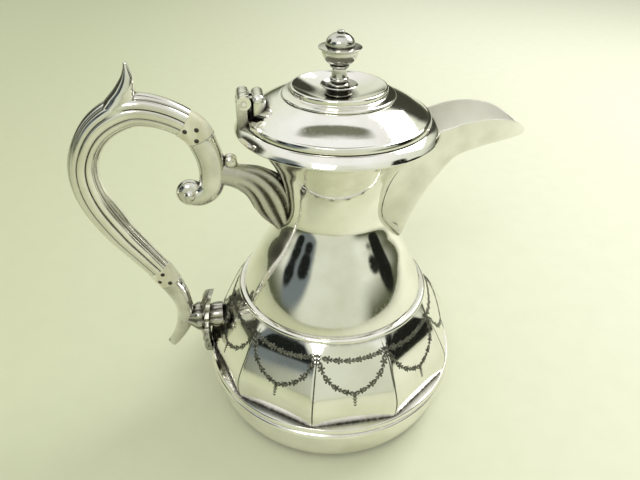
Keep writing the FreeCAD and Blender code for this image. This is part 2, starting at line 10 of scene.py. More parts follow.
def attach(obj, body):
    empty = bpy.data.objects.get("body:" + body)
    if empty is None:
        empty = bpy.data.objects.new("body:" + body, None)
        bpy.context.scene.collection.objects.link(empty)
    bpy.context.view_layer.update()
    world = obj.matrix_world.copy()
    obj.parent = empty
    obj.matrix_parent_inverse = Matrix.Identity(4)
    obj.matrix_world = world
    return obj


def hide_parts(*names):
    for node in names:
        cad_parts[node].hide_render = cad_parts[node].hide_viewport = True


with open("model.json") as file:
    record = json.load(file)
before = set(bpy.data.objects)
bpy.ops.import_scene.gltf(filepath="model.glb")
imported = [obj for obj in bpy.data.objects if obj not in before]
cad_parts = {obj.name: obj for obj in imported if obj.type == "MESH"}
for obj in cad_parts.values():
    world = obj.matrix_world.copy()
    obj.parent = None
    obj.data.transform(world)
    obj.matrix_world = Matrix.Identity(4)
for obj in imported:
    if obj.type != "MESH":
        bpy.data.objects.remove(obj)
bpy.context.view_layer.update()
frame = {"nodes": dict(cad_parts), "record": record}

# Lengths of the pot are millimetres, as in the part, and MM turns them into Blender's metres.
MM = 0.001
TAU = 2 * math.pi
SPIN_STEPS = 144
CURVE_STEPS = 9
SHARP_ANGLE = math.radians(34)
WELD_DISTANCE = 0.0005

# Sheet
WALL = 1.2

# Under-bowl, girdle and panelled bowl
FOOT_RADIUS = 64.0
UNDER_BOWL_RADIUS = 72.5
GIRDLE_RADIUS = 75.0
GIRDLE_INNER = 66.0
GIRDLE_BOTTOM = 24.0
GIRDLE_TOP = 33.0
PANELS = 10
BOWL_RADIUS = 74.0
BOWL_TOP_RADIUS = 53.8
BOWL_TOP = 76.0
PANEL_TURN = TAU / PANELS
PANEL_DEGREES = 360 / PANELS
PANEL_HALF_WIDTH = 22.5
CREASE_GROOVE = 0.35
CREASE_HALF_WIDTH = 0.42
CREASE_BOTTOM = 34.0
CREASE_TOP = 70.5
FADE_START = 66.0
SHOULDER_CUT = 0.03

# Neck and rim
NECK_BOTTOM = 79.0
NECK_FOOT_RADIUS = 51.5
WAIST_RADIUS = 26.5
WAIST_HEIGHT = 126.0
NECK_TOP = 171.0
NECK_TOP_RADIUS = 46.0
RIM_RADIUS = 50.1
RIM_BORE = 43.2
RIM_TOP = 177.0
STRAINER_HOLE = 3.4
STRAINER_PITCH = 6.0
STRAINER_ROWS = 5
STRAINER_BOTTOM = 131.0
STRAINER_ROW_PITCH = 0.87 * STRAINER_PITCH
DRILL_MIDDLE = 30.0
DRILL_LENGTH = 40.0

# Lid and knob
LID_SEAT = 177.3
LID_RADIUS = 45.0
LID_CROWN = 188.0
BEZEL_RADIUS = 41.5
CAP_RADIUS = 27.2
CAP_TOP_RADIUS = 22.6
CAP_TOP = 192.5
CAP_SEAT_RADIUS = 8.0
SEAT_HOLE_RADIUS = 20.0
STUD_RADIUS = 2.0

# Hinge
HINGE_X = -44.9
HINGE_HEIGHT = 187.8
HINGE_HALF_WIDTH = 8.0
HINGE_GAP = 0.3
KNUCKLES = 5
KNUCKLE_RADIUS = 3.2
POST_DEPTH = 4.5
POST_SINK = 2.4
POST_TAPER = 0.14
POST_STEPS = 24
WEB_THICKNESS = 3.0
CUSHION_THICKNESS = 6.6
CUSHION_FOOT = 3.2
CUSHION_STRAIGHT = 0.62
CUSHION_STEPS = 40

# Handle
GRIP_THICKNESS = 15.2
GRIP_WIDTH = 13.6
COLLAR_LENGTH = 11.0
VOLUTE_RADIUS = 7.0
VOLUTE_HALF = 4.8
BOSS_HALF = 6.4
HANDLE_SIDES = 120

body_of = {node: body for body, nodes in frame["record"]["behaviour"]["bodies"].items() for node in nodes}


# Small helpers

def lerp(low, high, share):
    return low + (high - low) * share


def clamp(share):
    return min(max(share, 0.0), 1.0)


def ease(share):
    """Share of the way that starts and ends slowly."""
    return share * share * (3 - 2 * share)


def turns(count):
    """Angles once round in equal steps, from 0."""
    return [TAU * step / count for step in range(count)]


def flute(phase):
    """Depth of a rounded flute, from 0 on its ridges to 1 at its bottom."""
    return (0.5 - 0.5 * math.cos(phase)) ** 2


def moved(x, y, z):
    return Matrix.Translation(Vector((x, y, z)) * MM)


def sized(x, y, z):
    """Matrix that gives a shape of size 1 its sizes."""
    return Matrix.Diagonal((x * MM, y * MM, z * MM, 1.0))


def flow(points, steps=CURVE_STEPS):
    """Smooth line through points, with a number of steps from each point to the next."""
    spots = [Vector(point) for point in points]
    spans = [(b - a).length for a, b in zip(spots, spots[1:])]
    slopes = [(c - a) / (s + t) for a, c, s, t in zip(spots, spots[2:], spans, spans[1:])]
    if not slopes:
        slopes = [(spots[1] - spots[0]) / spans[0]]
    slopes = [2 * (spots[1] - spots[0]) / spans[0] - slopes[0]] + slopes
    slopes = slopes + [2 * (spots[-1] - spots[-2]) / spans[-1] - slopes[-1]]
    line = [spots[0]]
    for number, span in enumerate(spans):
        start, end = spots[number], spots[number + 1]
        out, back = start + slopes[number] * span / 3, end - slopes[number + 1] * span / 3
        line += interpolate_bezier(start, out, back, end, steps + 1)[1:]
    return line


def running_lengths(line):
    """Distance of each point of a line from its start, along the line."""
    lengths = [0.0]
    for near, far in zip(line, line[1:]):
        lengths.append(lengths[-1] + (far - near).length)
    return lengths


def outline(start, *runs):
    """Points of a line from a start: a run of one point is straight, a longer run is a smooth curve."""
    points = [Vector(start)]
    for run in runs:
        if len(run) == 1:
            points.append(Vector(run[0]))
        else:
            points += flow([points[-1]] + list(run))[1:]
    return points


def height_lookup(points, height):
    """Radius at a height on a line of (radius, height) points that climbs all the way."""
    for low, high in zip(points, points[1:]):
        if height <= high.y:
            return lerp(low.x, high.x, (height - low.y) / (high.y - low.y))
    return points[-1].x


def skin(mesh, rings, joined=False):
    """Tube through rings of points. Its ends are closed with faces, or joined to each other."""
    loops = []
    for ring in rings:
        verts = [mesh.verts.new(Vector(point) * MM) for point in ring]
        loops.append([mesh.edges.new(pair) for pair in zip(verts, verts[1:] + verts[:1])])
    pairs = list(zip(loops, loops[1:]))
    if joined:
        pairs.append((loops[-1], loops[0]))
    for near, far in pairs:
        bmesh.ops.bridge_loops(mesh, edges=near + far)
    if not joined:
        for loop in (loops[0], loops[-1]):
            bmesh.ops.edgeloop_fill(mesh, edges=loop)


def store_shade_and_grime(mesh, amounts):
    """Stores how much painted shade and grime each vertex gets, in the order in which the vertices were made.
    """
    layer = mesh.verts.layers.float.new("shade_grime")
    for vert, amount in zip(mesh.verts, amounts):
        vert[layer] = amount


def plain_object(name, mesh):
    bmesh.ops.remove_doubles(mesh, verts=mesh.verts, dist=WELD_DISTANCE * MM)
    bmesh.ops.recalc_face_normals(mesh, faces=mesh.faces)
    data = bpy.data.meshes.new(name)
    mesh.to_mesh(data)
    mesh.free()
    obj = bpy.data.objects.new(name, data)
    bpy.context.scene.collection.objects.link(obj)
    return obj


def carve(obj, cutter, operation="DIFFERENCE"):
    """Cuts one plain object with another, which is then removed."""
    cut = obj.modifiers.new("carve", "BOOLEAN")
    cut.operation = operation
    cut.object = cutter
    cut.solver = "EXACT"
    view = bpy.context.evaluated_depsgraph_get()
    data = bpy.data.meshes.new_from_object(obj.evaluated_get(view))
    obj.modifiers.remove(cut)
    obj.data = data
    bpy.data.objects.remove(cutter)
    return obj


def dress(obj, node, material, edge=0.12, stands_for=True):
    """Finishes an object: smooth shading, soft edges, material, body and the CAD node that it stands for."""
    obj.data.shade_smooth()
    obj.data.materials.clear()
    obj.data.materials.append(material)
    if edge:
        bevel = obj.modifiers.new("soft edges", "BEVEL")
        bevel.width = edge * MM
        bevel.segments = 2
        bevel.limit_method = "ANGLE"
        bevel.angle_limit = SHARP_ANGLE
        bevel.material = -1
        even = obj.modifiers.new("even shading", "WEIGHTED_NORMAL")
        even.weight = 60
    else:
        obj.data.set_sharp_from_angle(angle=SHARP_ANGLE)
    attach(obj, body_of[node])
    if stands_for:
        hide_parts(node)
    return obj


def plated(node, mesh, material, edge):
    """Piece that stands for a CAD node and is named after it."""
    return dress(plain_object(node + ".plated", mesh), node, material, edge)


def take_in(mesh, obj):
    """Adds the mesh of an object to another mesh and removes the object."""
    mesh.from_mesh(obj.data)
    bpy.data.objects.remove(obj)


LINING_LIFT = 30.0
LINING_FACING = 0.3


def line_inside(obj, middle=None):
    """Gives faces that look to a (y, z) middle, or else to the pot's axis, the satin finish of the inside."""
    obj.data.materials.append(inner_plate)
    for face in obj.data.polygons:
        if middle:
            inward = Vector((0, middle[0] * MM - face.center.y, middle[1] * MM - face.center.z))
        else:
            inward = Vector((-face.center.x, -face.center.y, LINING_LIFT * MM))
        if face.normal.dot(inward) > LINING_FACING * inward.length:
            face.material_index = 1


def repeat_round(mesh, copies):
    """Repeats what a mesh holds, so that it stands that many times round the pot's axis."""
    first = mesh.verts[:] + mesh.edges[:] + mesh.faces[:]
    bmesh.ops.spin(
        mesh, geom=first, cent=(0, 0, 0), axis=(0, 0, 1), angle=TAU - TAU / copies, steps=copies - 1,
        use_duplicate=True,
    )


def spun_mesh(start, *runs):
    """Solid of revolution about the axis of the pot, from (radius, height) points."""
    mesh = bmesh.new()
    points = outline(start, *runs)
    verts = [mesh.verts.new((point.x * MM, 0, point.y * MM)) for point in points]
    edges = [mesh.edges.new(pair) for pair in zip(verts, verts[1:])]
    if points[0].x > 0 or points[-1].x > 0:
        edges.append(mesh.edges.new((verts[-1], verts[0])))
    bmesh.ops.spin(
        mesh, geom=verts + edges, cent=(0, 0, 0), axis=(0, 0, 1), angle=TAU, steps=SPIN_STEPS, use_merge=True
    )
    return mesh


def spun(node, material, start, *runs, edge=0.12):
    return plated(node, spun_mesh(start, *runs), material, edge)


# Materials

class Nodes:
    """Short way to add and link shader nodes in one tree."""

    def __init__(self, tree):
        self.tree = tree
        tree.nodes.clear()

    def add(self, kind, **settings):
        node = self.tree.nodes.new(kind)
        for name, value in settings.items():
            if name.startswith("in_"):
                node.inputs[name[3:].replace("_", " ")].default_value = value
            else:
                setattr(node, name, value)
        return node

    def link(self, source, target):
        self.tree.links.new(source, target)


def new_material(name):
    material = bpy.data.materials.new(name)
    material.use_nodes = True
    return material, Nodes(material.node_tree)


def noise(nodes, place, scale, detail=4.0, stretch=None):
    """Noise in the object's own coordinates, drawn out along one axis where a stretch is given."""
    texture = nodes.add("ShaderNodeTexNoise", in_Scale=scale, in_Detail=detail)
    if stretch:
        mapping = nodes.add("ShaderNodeMapping")
        mapping.inputs["Scale"].default_value = stretch
        nodes.link(place, mapping.inputs["Vector"])
        place = mapping.outputs["Vector"]
    nodes.link(place, texture.inputs["Vector"])
    return texture.outputs["Fac"]


def ramp(nodes, source, low, high, from_value=0.0, to_value=1.0):
    """Maps a value between two limits to another range, smoothly and without overshoot."""
    node = nodes.add("ShaderNodeMapRange", interpolation_type="SMOOTHSTEP")
    for socket, value in zip(node.inputs[1:5], (low, high, from_value, to_value)):
        socket.default_value = value
    nodes.link(source, node.inputs["Value"])
    return node.outputs["Result"]


def blend_colors(nodes, factor, first, second):
    node = nodes.add("ShaderNodeMix", data_type="RGBA")
    nodes.link(factor, node.inputs["Factor"])
    for socket, value in ((node.inputs[6], first), (node.inputs[7], second)):
        if isinstance(value, tuple):
            socket.default_value = (*value, 1.0)
        else:
            nodes.link(value, socket)
    return node.outputs[2]


def math_node(nodes, operation, first, second):
    node = nodes.add("ShaderNodeMath", operation=operation)
    for socket, value in zip(node.inputs, (first, second)):
        if isinstance(value, float):
            socket.default_value = value
        else:
            nodes.link(value, socket)
    return node.outputs[0]


BRIGHT_SILVER = (0.93, 0.92, 0.88)
WARM_SILVER = (0.88, 0.865, 0.79)
# Dark colour of tarnish, which also paints shade into crevices and between pieces.
DARK_TARNISH_AND_SHADE = (0.045, 0.040, 0.026)


def silver_plate(name, tarnish_and_shade=1.0, roughness=0.07, waves=0.05, dull_and_shade=0.0, metallic=1.0):
    """Polished plate with painted shade and tarnish in its crevices and between pieces, dull patches, faint
    rub marks and the slight waves of raised sheet.
    """
    material, nodes = new_material(name)
    place = nodes.add("ShaderNodeTexCoord").outputs["Object"]
    patches = noise(nodes, place, 46.0)
    shade_grime = noise(nodes, place, 420.0)
    rubs = noise(nodes, place, 900.0, 3.0, (1.0, 1.0, 0.06))
    swell = noise(nodes, place, 38.0, 1.0)
    # Ambient occlusion darkens the colour where nearby surfaces close in: painted shade in crevices and
    # between pieces, together with tarnish.
    shade = nodes.add("ShaderNodeAmbientOcclusion", samples=8, in_Distance=5.0 * MM)
    crevice_shade_and_tarnish = ramp(nodes, shade.outputs["AO"], 0.30, 0.90, tarnish_and_shade, 0.0)
    crevice_shade_and_tarnish = math_node(nodes, "MULTIPLY", crevice_shade_and_tarnish, ramp(nodes, shade_grime, 0.2, 0.62, 0.55, 1.0))
    # Stored amount of each vertex, broken up by noise: painted shade and grime in grooves, reed valleys and
    # at the foot of the hinge post.
    stored_shade_and_grime = nodes.add("ShaderNodeAttribute", attribute_name="shade_grime").outputs["Fac"]
    stored_shade_and_grime = math_node(nodes, "MULTIPLY", stored_shade_and_grime, ramp(nodes, shade_grime, 0.1, 0.5, 0.7, 1.0))
    crevice_shade_and_tarnish = math_node(nodes, "MAXIMUM", crevice_shade_and_tarnish, stored_shade_and_grime)
    # Dull patches: random tarnish, made stronger on some copies of the plate as painted shade.
    shade_and_tarnish_amount = math_node(nodes, "MAXIMUM", crevice_shade_and_tarnish, ramp(nodes, patches, 0.3, 0.7, 0.25 * dull_and_shade, dull_and_shade))
    sheet = blend_colors(nodes, ramp(nodes, patches, 0.35, 0.75), BRIGHT_SILVER, WARM_SILVER)
    color = blend_colors(nodes, shade_and_tarnish_amount, sheet, DARK_TARNISH_AND_SHADE)
    worn = ramp(nodes, rubs, 0.5, 0.8, roughness, roughness + 0.10)
    rough = math_node(nodes, "ADD", worn, math_node(nodes, "MULTIPLY", crevice_shade_and_tarnish, 0.3))
    fine = nodes.add("ShaderNodeBump", in_Strength=0.025, in_Distance=0.1 * MM)
    broad = nodes.add("ShaderNodeBump", in_Strength=waves, in_Distance=1.5 * MM)
    nodes.link(rubs, fine.inputs["Height"])
    nodes.link(swell, broad.inputs["Height"])
    nodes.link(fine.outputs["Normal"], broad.inputs["Normal"])
    shader = nodes.add("ShaderNodeBsdfPrincipled", in_Metallic=metallic)
    nodes.link(color, shader.inputs["Base Color"])
    nodes.link(rough, shader.inputs["Roughness"])
    nodes.link(broad.outputs["Normal"], shader.inputs["Normal"])
    nodes.link(shader.outputs["BSDF"], nodes.add("ShaderNodeOutputMaterial").inputs["Surface"])
    return material


def mottled(name, first, second, scale, roughness, metallic=0.0, bump=0.1, stretch=None):
    """Two colours mixed by noise, with a matching grain: for the collars, pins, engraving and fittings."""
    material, nodes = new_material(name)
    place = nodes.add("ShaderNodeTexCoord").outputs["Object"]
    grain = noise(nodes, place, scale, 5.0, stretch)
    shader = nodes.add("ShaderNodeBsdfPrincipled", in_Metallic=metallic)
    nodes.link(blend_colors(nodes, ramp(nodes, grain, 0.3, 0.7), first, second), shader.inputs["Base Color"])
    nodes.link(ramp(nodes, grain, 0.3, 0.7, roughness, roughness + 0.18), shader.inputs["Roughness"])
    relief = nodes.add("ShaderNodeBump", in_Strength=bump, in_Distance=0.2 * MM)
    nodes.link(grain, relief.inputs["Height"])
    nodes.link(relief.outputs["Normal"], shader.inputs["Normal"])
    nodes.link(shader.outputs["BSDF"], nodes.add("ShaderNodeOutputMaterial").inputs["Surface"])
    return material


# Copies of the plate: the spout, cast pieces, sockets and knob get stronger dull patches, partly tarnish and
# partly painted shade; on the knob this also stands for a dark reflection.
plate = silver_plate("polished_plate", dull_and_shade=0.10)
spout_plate = silver_plate("spout_plate", dull_and_shade=0.26)
cast = silver_plate("cast_plate", tarnish_and_shade=1.25, roughness=0.10, waves=0.08, dull_and_shade=0.22)
socket_plate = silver_plate("socket_plate", tarnish_and_shade=1.25, roughness=0.10, waves=0.08, dull_and_shade=0.38)
knob_plate = silver_plate("knob_plate", tarnish_and_shade=1.5, roughness=0.10, waves=0.05, dull_and_shade=0.55)
inner_plate = silver_plate("inner_plate", tarnish_and_shade=0.8, roughness=0.30, waves=0.08, dull_and_shade=0.15, metallic=0.5)
bone = mottled("bone", (0.80, 0.79, 0.66), (0.60, 0.58, 0.42), 160.0, 0.3, stretch=(1.0, 1.0, 0.25))
dark_metal = mottled("dark_pin", (0.045, 0.042, 0.04), (0.09, 0.085, 0.075), 700.0, 0.35, metallic=0.9)
# Dark cut metal of the engraving; the crease strips use it as painted shade.
engraving_and_crease_shade = mottled(
    "engraved_cut_and_crease_shade", (0.05, 0.052, 0.045), (0.20, 0.20, 0.16), 900.0, 0.28, metallic=0.9, bump=0.4
)
brass = mottled("dull_brass", (0.50, 0.36, 0.14), (0.36, 0.25, 0.10), 500.0, 0.32, metallic=1.0)


# Under-bowl and girdle

def make_base_bowl():
    half_way = GIRDLE_BOTTOM / 2
    bulge = UNDER_BOWL_RADIUS - 0.6
    outer = [(FOOT_RADIUS + 4.6, 3.6), (bulge, half_way), (UNDER_BOWL_RADIUS, GIRDLE_BOTTOM)]
    inner = [(bulge - WALL, half_way), (FOOT_RADIUS + 2.6, 4.4), (FOOT_RADIUS - WALL, WALL)]
    top = (UNDER_BOWL_RADIUS - WALL, GIRDLE_BOTTOM)
    obj = spun("base_bowl", plate, (0, 0), [(FOOT_RADIUS, 0)], outer, [top], inner, [(0, WALL)])
    line_inside(obj)


def make_girdle():
    quirk = GIRDLE_BOTTOM + 5.04
    lower_bead = [
        (GIRDLE_RADIUS - 0.6, lerp(GIRDLE_BOTTOM, quirk, 0.18)),
        (GIRDLE_RADIUS, lerp(GIRDLE_BOTTOM, quirk, 0.52)),
        (GIRDLE_RADIUS - 0.8, lerp(GIRDLE_BOTTOM, quirk, 0.88)),
    ]
    upper_bead = [
        (GIRDLE_RADIUS - 0.7, lerp(quirk, GIRDLE_TOP, 0.24)),
        (GIRDLE_RADIUS - 0.4, lerp(quirk, GIRDLE_TOP, 0.58)),
        (GIRDLE_RADIUS - 1.2, GIRDLE_TOP),
    ]
    spun(
        "girdle_ring", plate, (GIRDLE_INNER, GIRDLE_BOTTOM), [(UNDER_BOWL_RADIUS, GIRDLE_BOTTOM)], lower_bead,
        [(GIRDLE_RADIUS - 1.8, quirk)], upper_bead, [(GIRDLE_INNER, GIRDLE_TOP)],
    )


# Panelled bowl

def bowl_line():
    """(crease radius, height) from the girdle up to the shoulder."""
    swell = BOWL_RADIUS - BOWL_TOP_RADIUS
    rise = BOWL_TOP - GIRDLE_TOP
    shares = [
        (0.95, 0.0), (1.0, 0.16), (0.985, 0.27), (0.91, 0.38),
        (0.735, 0.54), (0.47, 0.75), (0.17, 0.92), (0.0, 1.0),
    ]
    return flow([(BOWL_TOP_RADIUS + swell * out, GIRDLE_TOP + rise * up) for out, up in shares], 8)


BOWL_LINE = bowl_line()
CREASE_MARKS = (0.0, 0.28, 0.62, 1.3, 4.0, 8.0, 13.0)


def panel_angles():
    """Angles round the bowl, close together beside each crease, in degrees."""
    angles = []
    for panel in range(PANELS):
        start = panel * PANEL_DEGREES
        angles += [start + mark for mark in CREASE_MARKS]
        angles += [start + PANEL_DEGREES / 2]
        angles += [start + PANEL_DEGREES - mark for mark in CREASE_MARKS[:0:-1]]
    return angles


def shoulder_fade(height):
    """How far the round shoulder cuts the creases back below the shoulder ring, from 0 to 1."""
    return ease(clamp((height - FADE_START) / (BOWL_TOP - FADE_START)))


def bowl_ring(crease_radius, height, inset, groove):
    ring = []
    across = crease_radius * math.cos(PANEL_TURN / 2)
    limit = crease_radius * (1 - SHOULDER_CUT * shoulder_fade(height))
    for angle in panel_angles():
        from_middle = abs((angle % PANEL_DEGREES) - PANEL_DEGREES / 2)
        radius = min(across / math.cos(math.radians(from_middle)), limit)
        from_crease = PANEL_DEGREES / 2 - from_middle
        if from_crease < CREASE_MARKS[2]:
            radius -= groove * (1 - shoulder_fade(height)) * (1 - from_crease / CREASE_MARKS[2])
        turn = math.radians(angle)
        ring.append(((radius - inset) * math.cos(turn), (radius - inset) * math.sin(turn), height))
    return ring


def make_panelled_bowl():
    mesh = bmesh.new()
    rings = [bowl_ring(spot.x, spot.y, 0.0, CREASE_GROOVE) for spot in BOWL_LINE]
    rings += [bowl_ring(spot.x, spot.y, WALL, 0.0) for spot in reversed(BOWL_LINE)]
    skin(mesh, rings, joined=True)
    line_inside(plated("panelled_bowl", mesh, plate, edge=0.06))


def panel_place(across, height, lift):
    """Matrix on the first panel: X across it, from -1 to 1 between its creases, Y up it and Z out of it."""
    def spot(level):
        reach = height_lookup(BOWL_LINE, level) * math.cos(PANEL_TURN / 2)
        return Vector((reach, across * reach * math.tan(PANEL_TURN / 2), level))
    here = spot(height)
    up = (spot(height + 0.5) - spot(height - 0.5)).normalized()
    out = Vector((0, 1, 0)).cross(up).normalized()
    side = up.cross(out).normalized()
    place = Matrix((side, up, out)).transposed().to_4x4()
    place.translation = (here + out * lift) * MM
    return Matrix.Rotation(PANEL_TURN / 2, 4, "Z") @ place


MARK_PITCH = 2.3
MARK_HEIGHT = 0.14
MARK_LIFT = 0.02
PETALS = 5
DROP_PITCH = 1.5


def leaf_mark(mesh, place, long, wide, turn=0.0, off=(0.0, 0.0)):
    """One small pointed cut of the engraving: a flattened bead, longer than wide."""
    turned = place @ Matrix.Rotation(turn, 4, "Z")
    matrix = turned @ moved(*off, 0) @ sized(long, wide, MARK_HEIGHT)
    bmesh.ops.create_uvsphere(mesh, u_segments=8, v_segments=4, radius=1.0, matrix=matrix)


def garland(mesh, points):
    """Chain of buds and leaf pairs along a line of (across, height) points on the first panel."""
    line = flow([(across * PANEL_HALF_WIDTH, height) for across, height in points], 24)
    lengths = running_lengths(line)
    count = max(round(lengths[-1] / MARK_PITCH), 3)
    for step in range(count + 1):
        target = lengths[-1] * step / count
        number = next(i for i, length in enumerate(lengths) if length >= target - 1e-6)
        ahead = line[min(number + 1, len(line) - 1)] - line[max(number - 1, 0)]
        turn = math.atan2(ahead.y, ahead.x)
        place = panel_place(line[number].x / PANEL_HALF_WIDTH, line[number].y, MARK_LIFT)
        size = 1.0 + 0.22 * math.sin(2.3 * step)
        if step % 3 == 1:
            leaf_mark(mesh, place, size, size, turn)
            for petal in turns(PETALS):
                leaf_mark(mesh, place, 0.85, 0.6, turn + petal, (1.15 * size, 0.0))
        else:
            leaf_mark(mesh, place, 1.3 * size, 0.5, turn + 0.5, (0.1, 0.5))
            leaf_mark(mesh, place, 1.3 * size, 0.5, turn - 0.5, (0.1, -0.5))
            leaf_mark(mesh, place, 1.0, 0.25, turn)


def pendant(mesh, across, height, drops):
    """Small drop of beads with leaf pairs that hangs straight down from a point of the garland."""
    for step in range(drops):
        size = 1.0 - 0.14 * step
        place = panel_place(across, height - step * DROP_PITCH, MARK_LIFT)
        leaf_mark(mesh, place, size * 0.8, size * 0.8)
        for side in (1, -1):
            leaf_mark(mesh, place, 0.85 * size, 0.3, side * 0.7, (side * 1.1 * size, 0.0))


def make_engraving():
    """Swags cut into every panel: a garland under the shoulder and a deep festoon with a drop."""
    mesh = bmesh.new()
    garland(mesh, [(-0.8, 70.2), (-0.45, 68.9), (0.0, 68.2), (0.45, 68.9), (0.8, 70.2)])
    garland(mesh, [(-0.9, 68.4), (-0.72, 62.0), (-0.42, 56.4), (0.0, 53.0)])
    garland(mesh, [(0.9, 68.4), (0.72, 62.0), (0.42, 56.4), (0.0, 53.0)])
    pendant(mesh, 0.0, 51.4, 4)
    for side in (1, -1):
        pendant(mesh, side * 0.95, 71.2, 3)
    repeat_round(mesh, PANELS)
    dress(plain_object("engraved_swags", mesh), "panelled_bowl", engraving_and_crease_shade, edge=0, stands_for=False)


def make_crease_shade_strips():
    """Dark strip in the groove of every crease, painted shade and tarnish of the groove, from just above the
    girdle to where the round shoulder begins.
    """
    mesh = bmesh.new()
    spots = [spot for spot in BOWL_LINE if CREASE_BOTTOM < spot.y < CREASE_TOP]
    rings = []
    for number, spot in enumerate(spots):
        half = CREASE_HALF_WIDTH * min(1.0, 0.2 + 0.25 * min(number, len(spots) - 1 - number))
        corners = ((0.0, half), (0.16, 0.0), (0.0, -half), (-0.3, 0.0))
        rings.append([(spot.x - CREASE_GROOVE * 0.9 + out, across, spot.y) for out, across in corners])
    skin(mesh, rings)
    repeat_round(mesh, PANELS)
    dress(plain_object("crease_shade_strips", mesh), "panelled_bowl", engraving_and_crease_shade, edge=0, stands_for=False)


def bowl_core():
    mesh = bmesh.new()
    skin(mesh, [bowl_ring(spot.x, spot.y, 0.4, 0.0) for spot in BOWL_LINE[::4]])
    return plain_object("bowl_core", mesh)


# Shoulder ring, neck and rim

def neck_points(inset):
    below = [(1.0, 1.0), (0.82, 0.766), (0.54, 0.49), (0.22, 0.234), (0.0, 0.0)]
    above = [(0.05, 0.311), (0.256, 0.578), (0.59, 0.8), (1.0, 1.0)]
    ends = ((below, NECK_FOOT_RADIUS, NECK_BOTTOM), (above, NECK_TOP_RADIUS, NECK_TOP))
    points = []
    for shares, end_radius, end_height in ends:
        for out, along in shares:
            radius = lerp(WAIST_RADIUS, end_radius, out)
            points.append((radius - inset, lerp(WAIST_HEIGHT, end_height, along)))
    return points


NECK_LINE = flow(neck_points(0.0))


def make_shoulder_ring():
    inner = NECK_FOOT_RADIUS - WALL - 0.7
    bead = [(BOWL_TOP_RADIUS + 0.9, BOWL_TOP + 1.5), (BOWL_TOP_RADIUS - 0.6, NECK_BOTTOM)]
    foot = (BOWL_TOP_RADIUS, BOWL_TOP)
    spun("shoulder_ring", plate, (inner, BOWL_TOP), [foot], bead, [(inner, NECK_BOTTOM)])


def strainer_drills():
    mesh = bmesh.new()
    drill = STRAINER_HOLE / 2 * MM
    for row in range(STRAINER_ROWS):
        holes = 3 - row % 2
        for hole in range(holes):
            y = (hole - (holes - 1) / 2) * STRAINER_PITCH
            z = STRAINER_BOTTOM + row * STRAINER_ROW_PITCH
            place = moved(DRILL_MIDDLE, y, z) @ Matrix.Rotation(math.pi / 2, 4, "Y")
            bmesh.ops.create_cone(
                mesh, cap_ends=True, segments=24, radius1=drill, radius2=drill, depth=DRILL_LENGTH * MM,
                matrix=place,
            )
    return plain_object("strainer_drills", mesh)


def make_neck():
    outer = neck_points(0.0)
    inner = neck_points(WALL)[::-1]
    obj = plain_object("neck.plated", spun_mesh(outer[0], outer[1:], [inner[0]], inner[1:]))
    line_inside(dress(carve(obj, strainer_drills()), "neck", plate, edge=0.1))


def neck_core():
    outer = neck_points(0.4)
    return plain_object("neck_core", spun_mesh((0, NECK_BOTTOM), [outer[0]], outer[1:], [(0, NECK_TOP)]))


def make_rim():
    seat = LID_RADIUS + 0.6
    rise = RIM_TOP - NECK_TOP
    crown = [
        (lerp(RIM_RADIUS, seat, 0.12), NECK_TOP + 0.42 * rise),
        (lerp(RIM_RADIUS, seat, 0.45), NECK_TOP + 0.72 * rise),
        (seat, RIM_TOP),
    ]
    lip = [(RIM_RADIUS - 1.2, NECK_TOP + 0.12 * rise), (RIM_RADIUS, NECK_TOP + 0.26 * rise)]
    foot = (NECK_TOP_RADIUS, NECK_TOP)
    spun("rim_ring", plate, (RIM_BORE, NECK_TOP), [foot], lip, crown, [(RIM_BORE, RIM_TOP)])


# Spout

# Each station along the spout: distance from the axis, half width, height of the lips, height of the keel
SPOUT_STATIONS = [
    (36.0, 15.5, 171.5, 104.5), (42.0, 15.0, 172.0, 122.5), (50.0, 14.4, 173.2, 139.0),
    (60.0, 14.0, 176.0, 153.0), (72.0, 13.3, 177.0, 158.0), (84.0, 11.4, 175.3, 160.8),
    (92.0, 7.6, 171.3, 162.2), (97.0, 3.6, 167.6, 163.0), (98.55, 1.3, 165.4, 163.6),
]
SPOUT_STATION_STEPS = 36
SPOUT_MIDDLE = (0.0, 190.0)
SPOUT_SIDES = 40
SPOUT_LENGTH_STEPS = 64
SPOUT_FLANK = 0.55
SPOUT_FLOOR = 0.62
ROOT_RUN = 100.0
ROOT_SINK = 0.5
ROOT_ROUNDS = 30


def spout_lines():
    """The same stations as two smooth lines: (x, half width) and (lip height, keel height)."""
    width = flow([(x, half, 0.0) for x, half, lip, keel in SPOUT_STATIONS], SPOUT_STATION_STEPS)
    heights = flow([(x, lip, keel) for x, half, lip, keel in SPOUT_STATIONS], SPOUT_STATION_STEPS)
    return width, heights


SPOUT_WIDTH, SPOUT_HEIGHTS = spout_lines()


def spout_spot(along, around):
    """Point of the channel, by the share of its length and by the place from lip to lip, -1 to 1."""
    place = clamp(along) * (len(SPOUT_WIDTH) - 1)
    number = min(int(place), len(SPOUT_WIDTH) - 2)
    width = SPOUT_WIDTH[number].lerp(SPOUT_WIDTH[number + 1], place - number)
    heights = SPOUT_HEIGHTS[number].lerp(SPOUT_HEIGHTS[number + 1], place - number)
    x, half, lip, keel = width.x + min(along, 0.0) * ROOT_RUN, width.y, heights.y, heights.z
    depth = lip - keel
    side = 1 - abs(around)
    rest = 1 - side
    weights = (rest ** 3, 3 * rest ** 2 * side, 3 * rest * side ** 2, side ** 3)
    poles = ((half, lip), (half, lip - SPOUT_FLANK * depth), (SPOUT_FLOOR * half, keel), (0.0, keel))
    spot = sum((Vector(pole) * weight for pole, weight in zip(poles, weights)), Vector((0.0, 0.0)))
    return Vector((x, math.copysign(spot.x, around), spot.y))


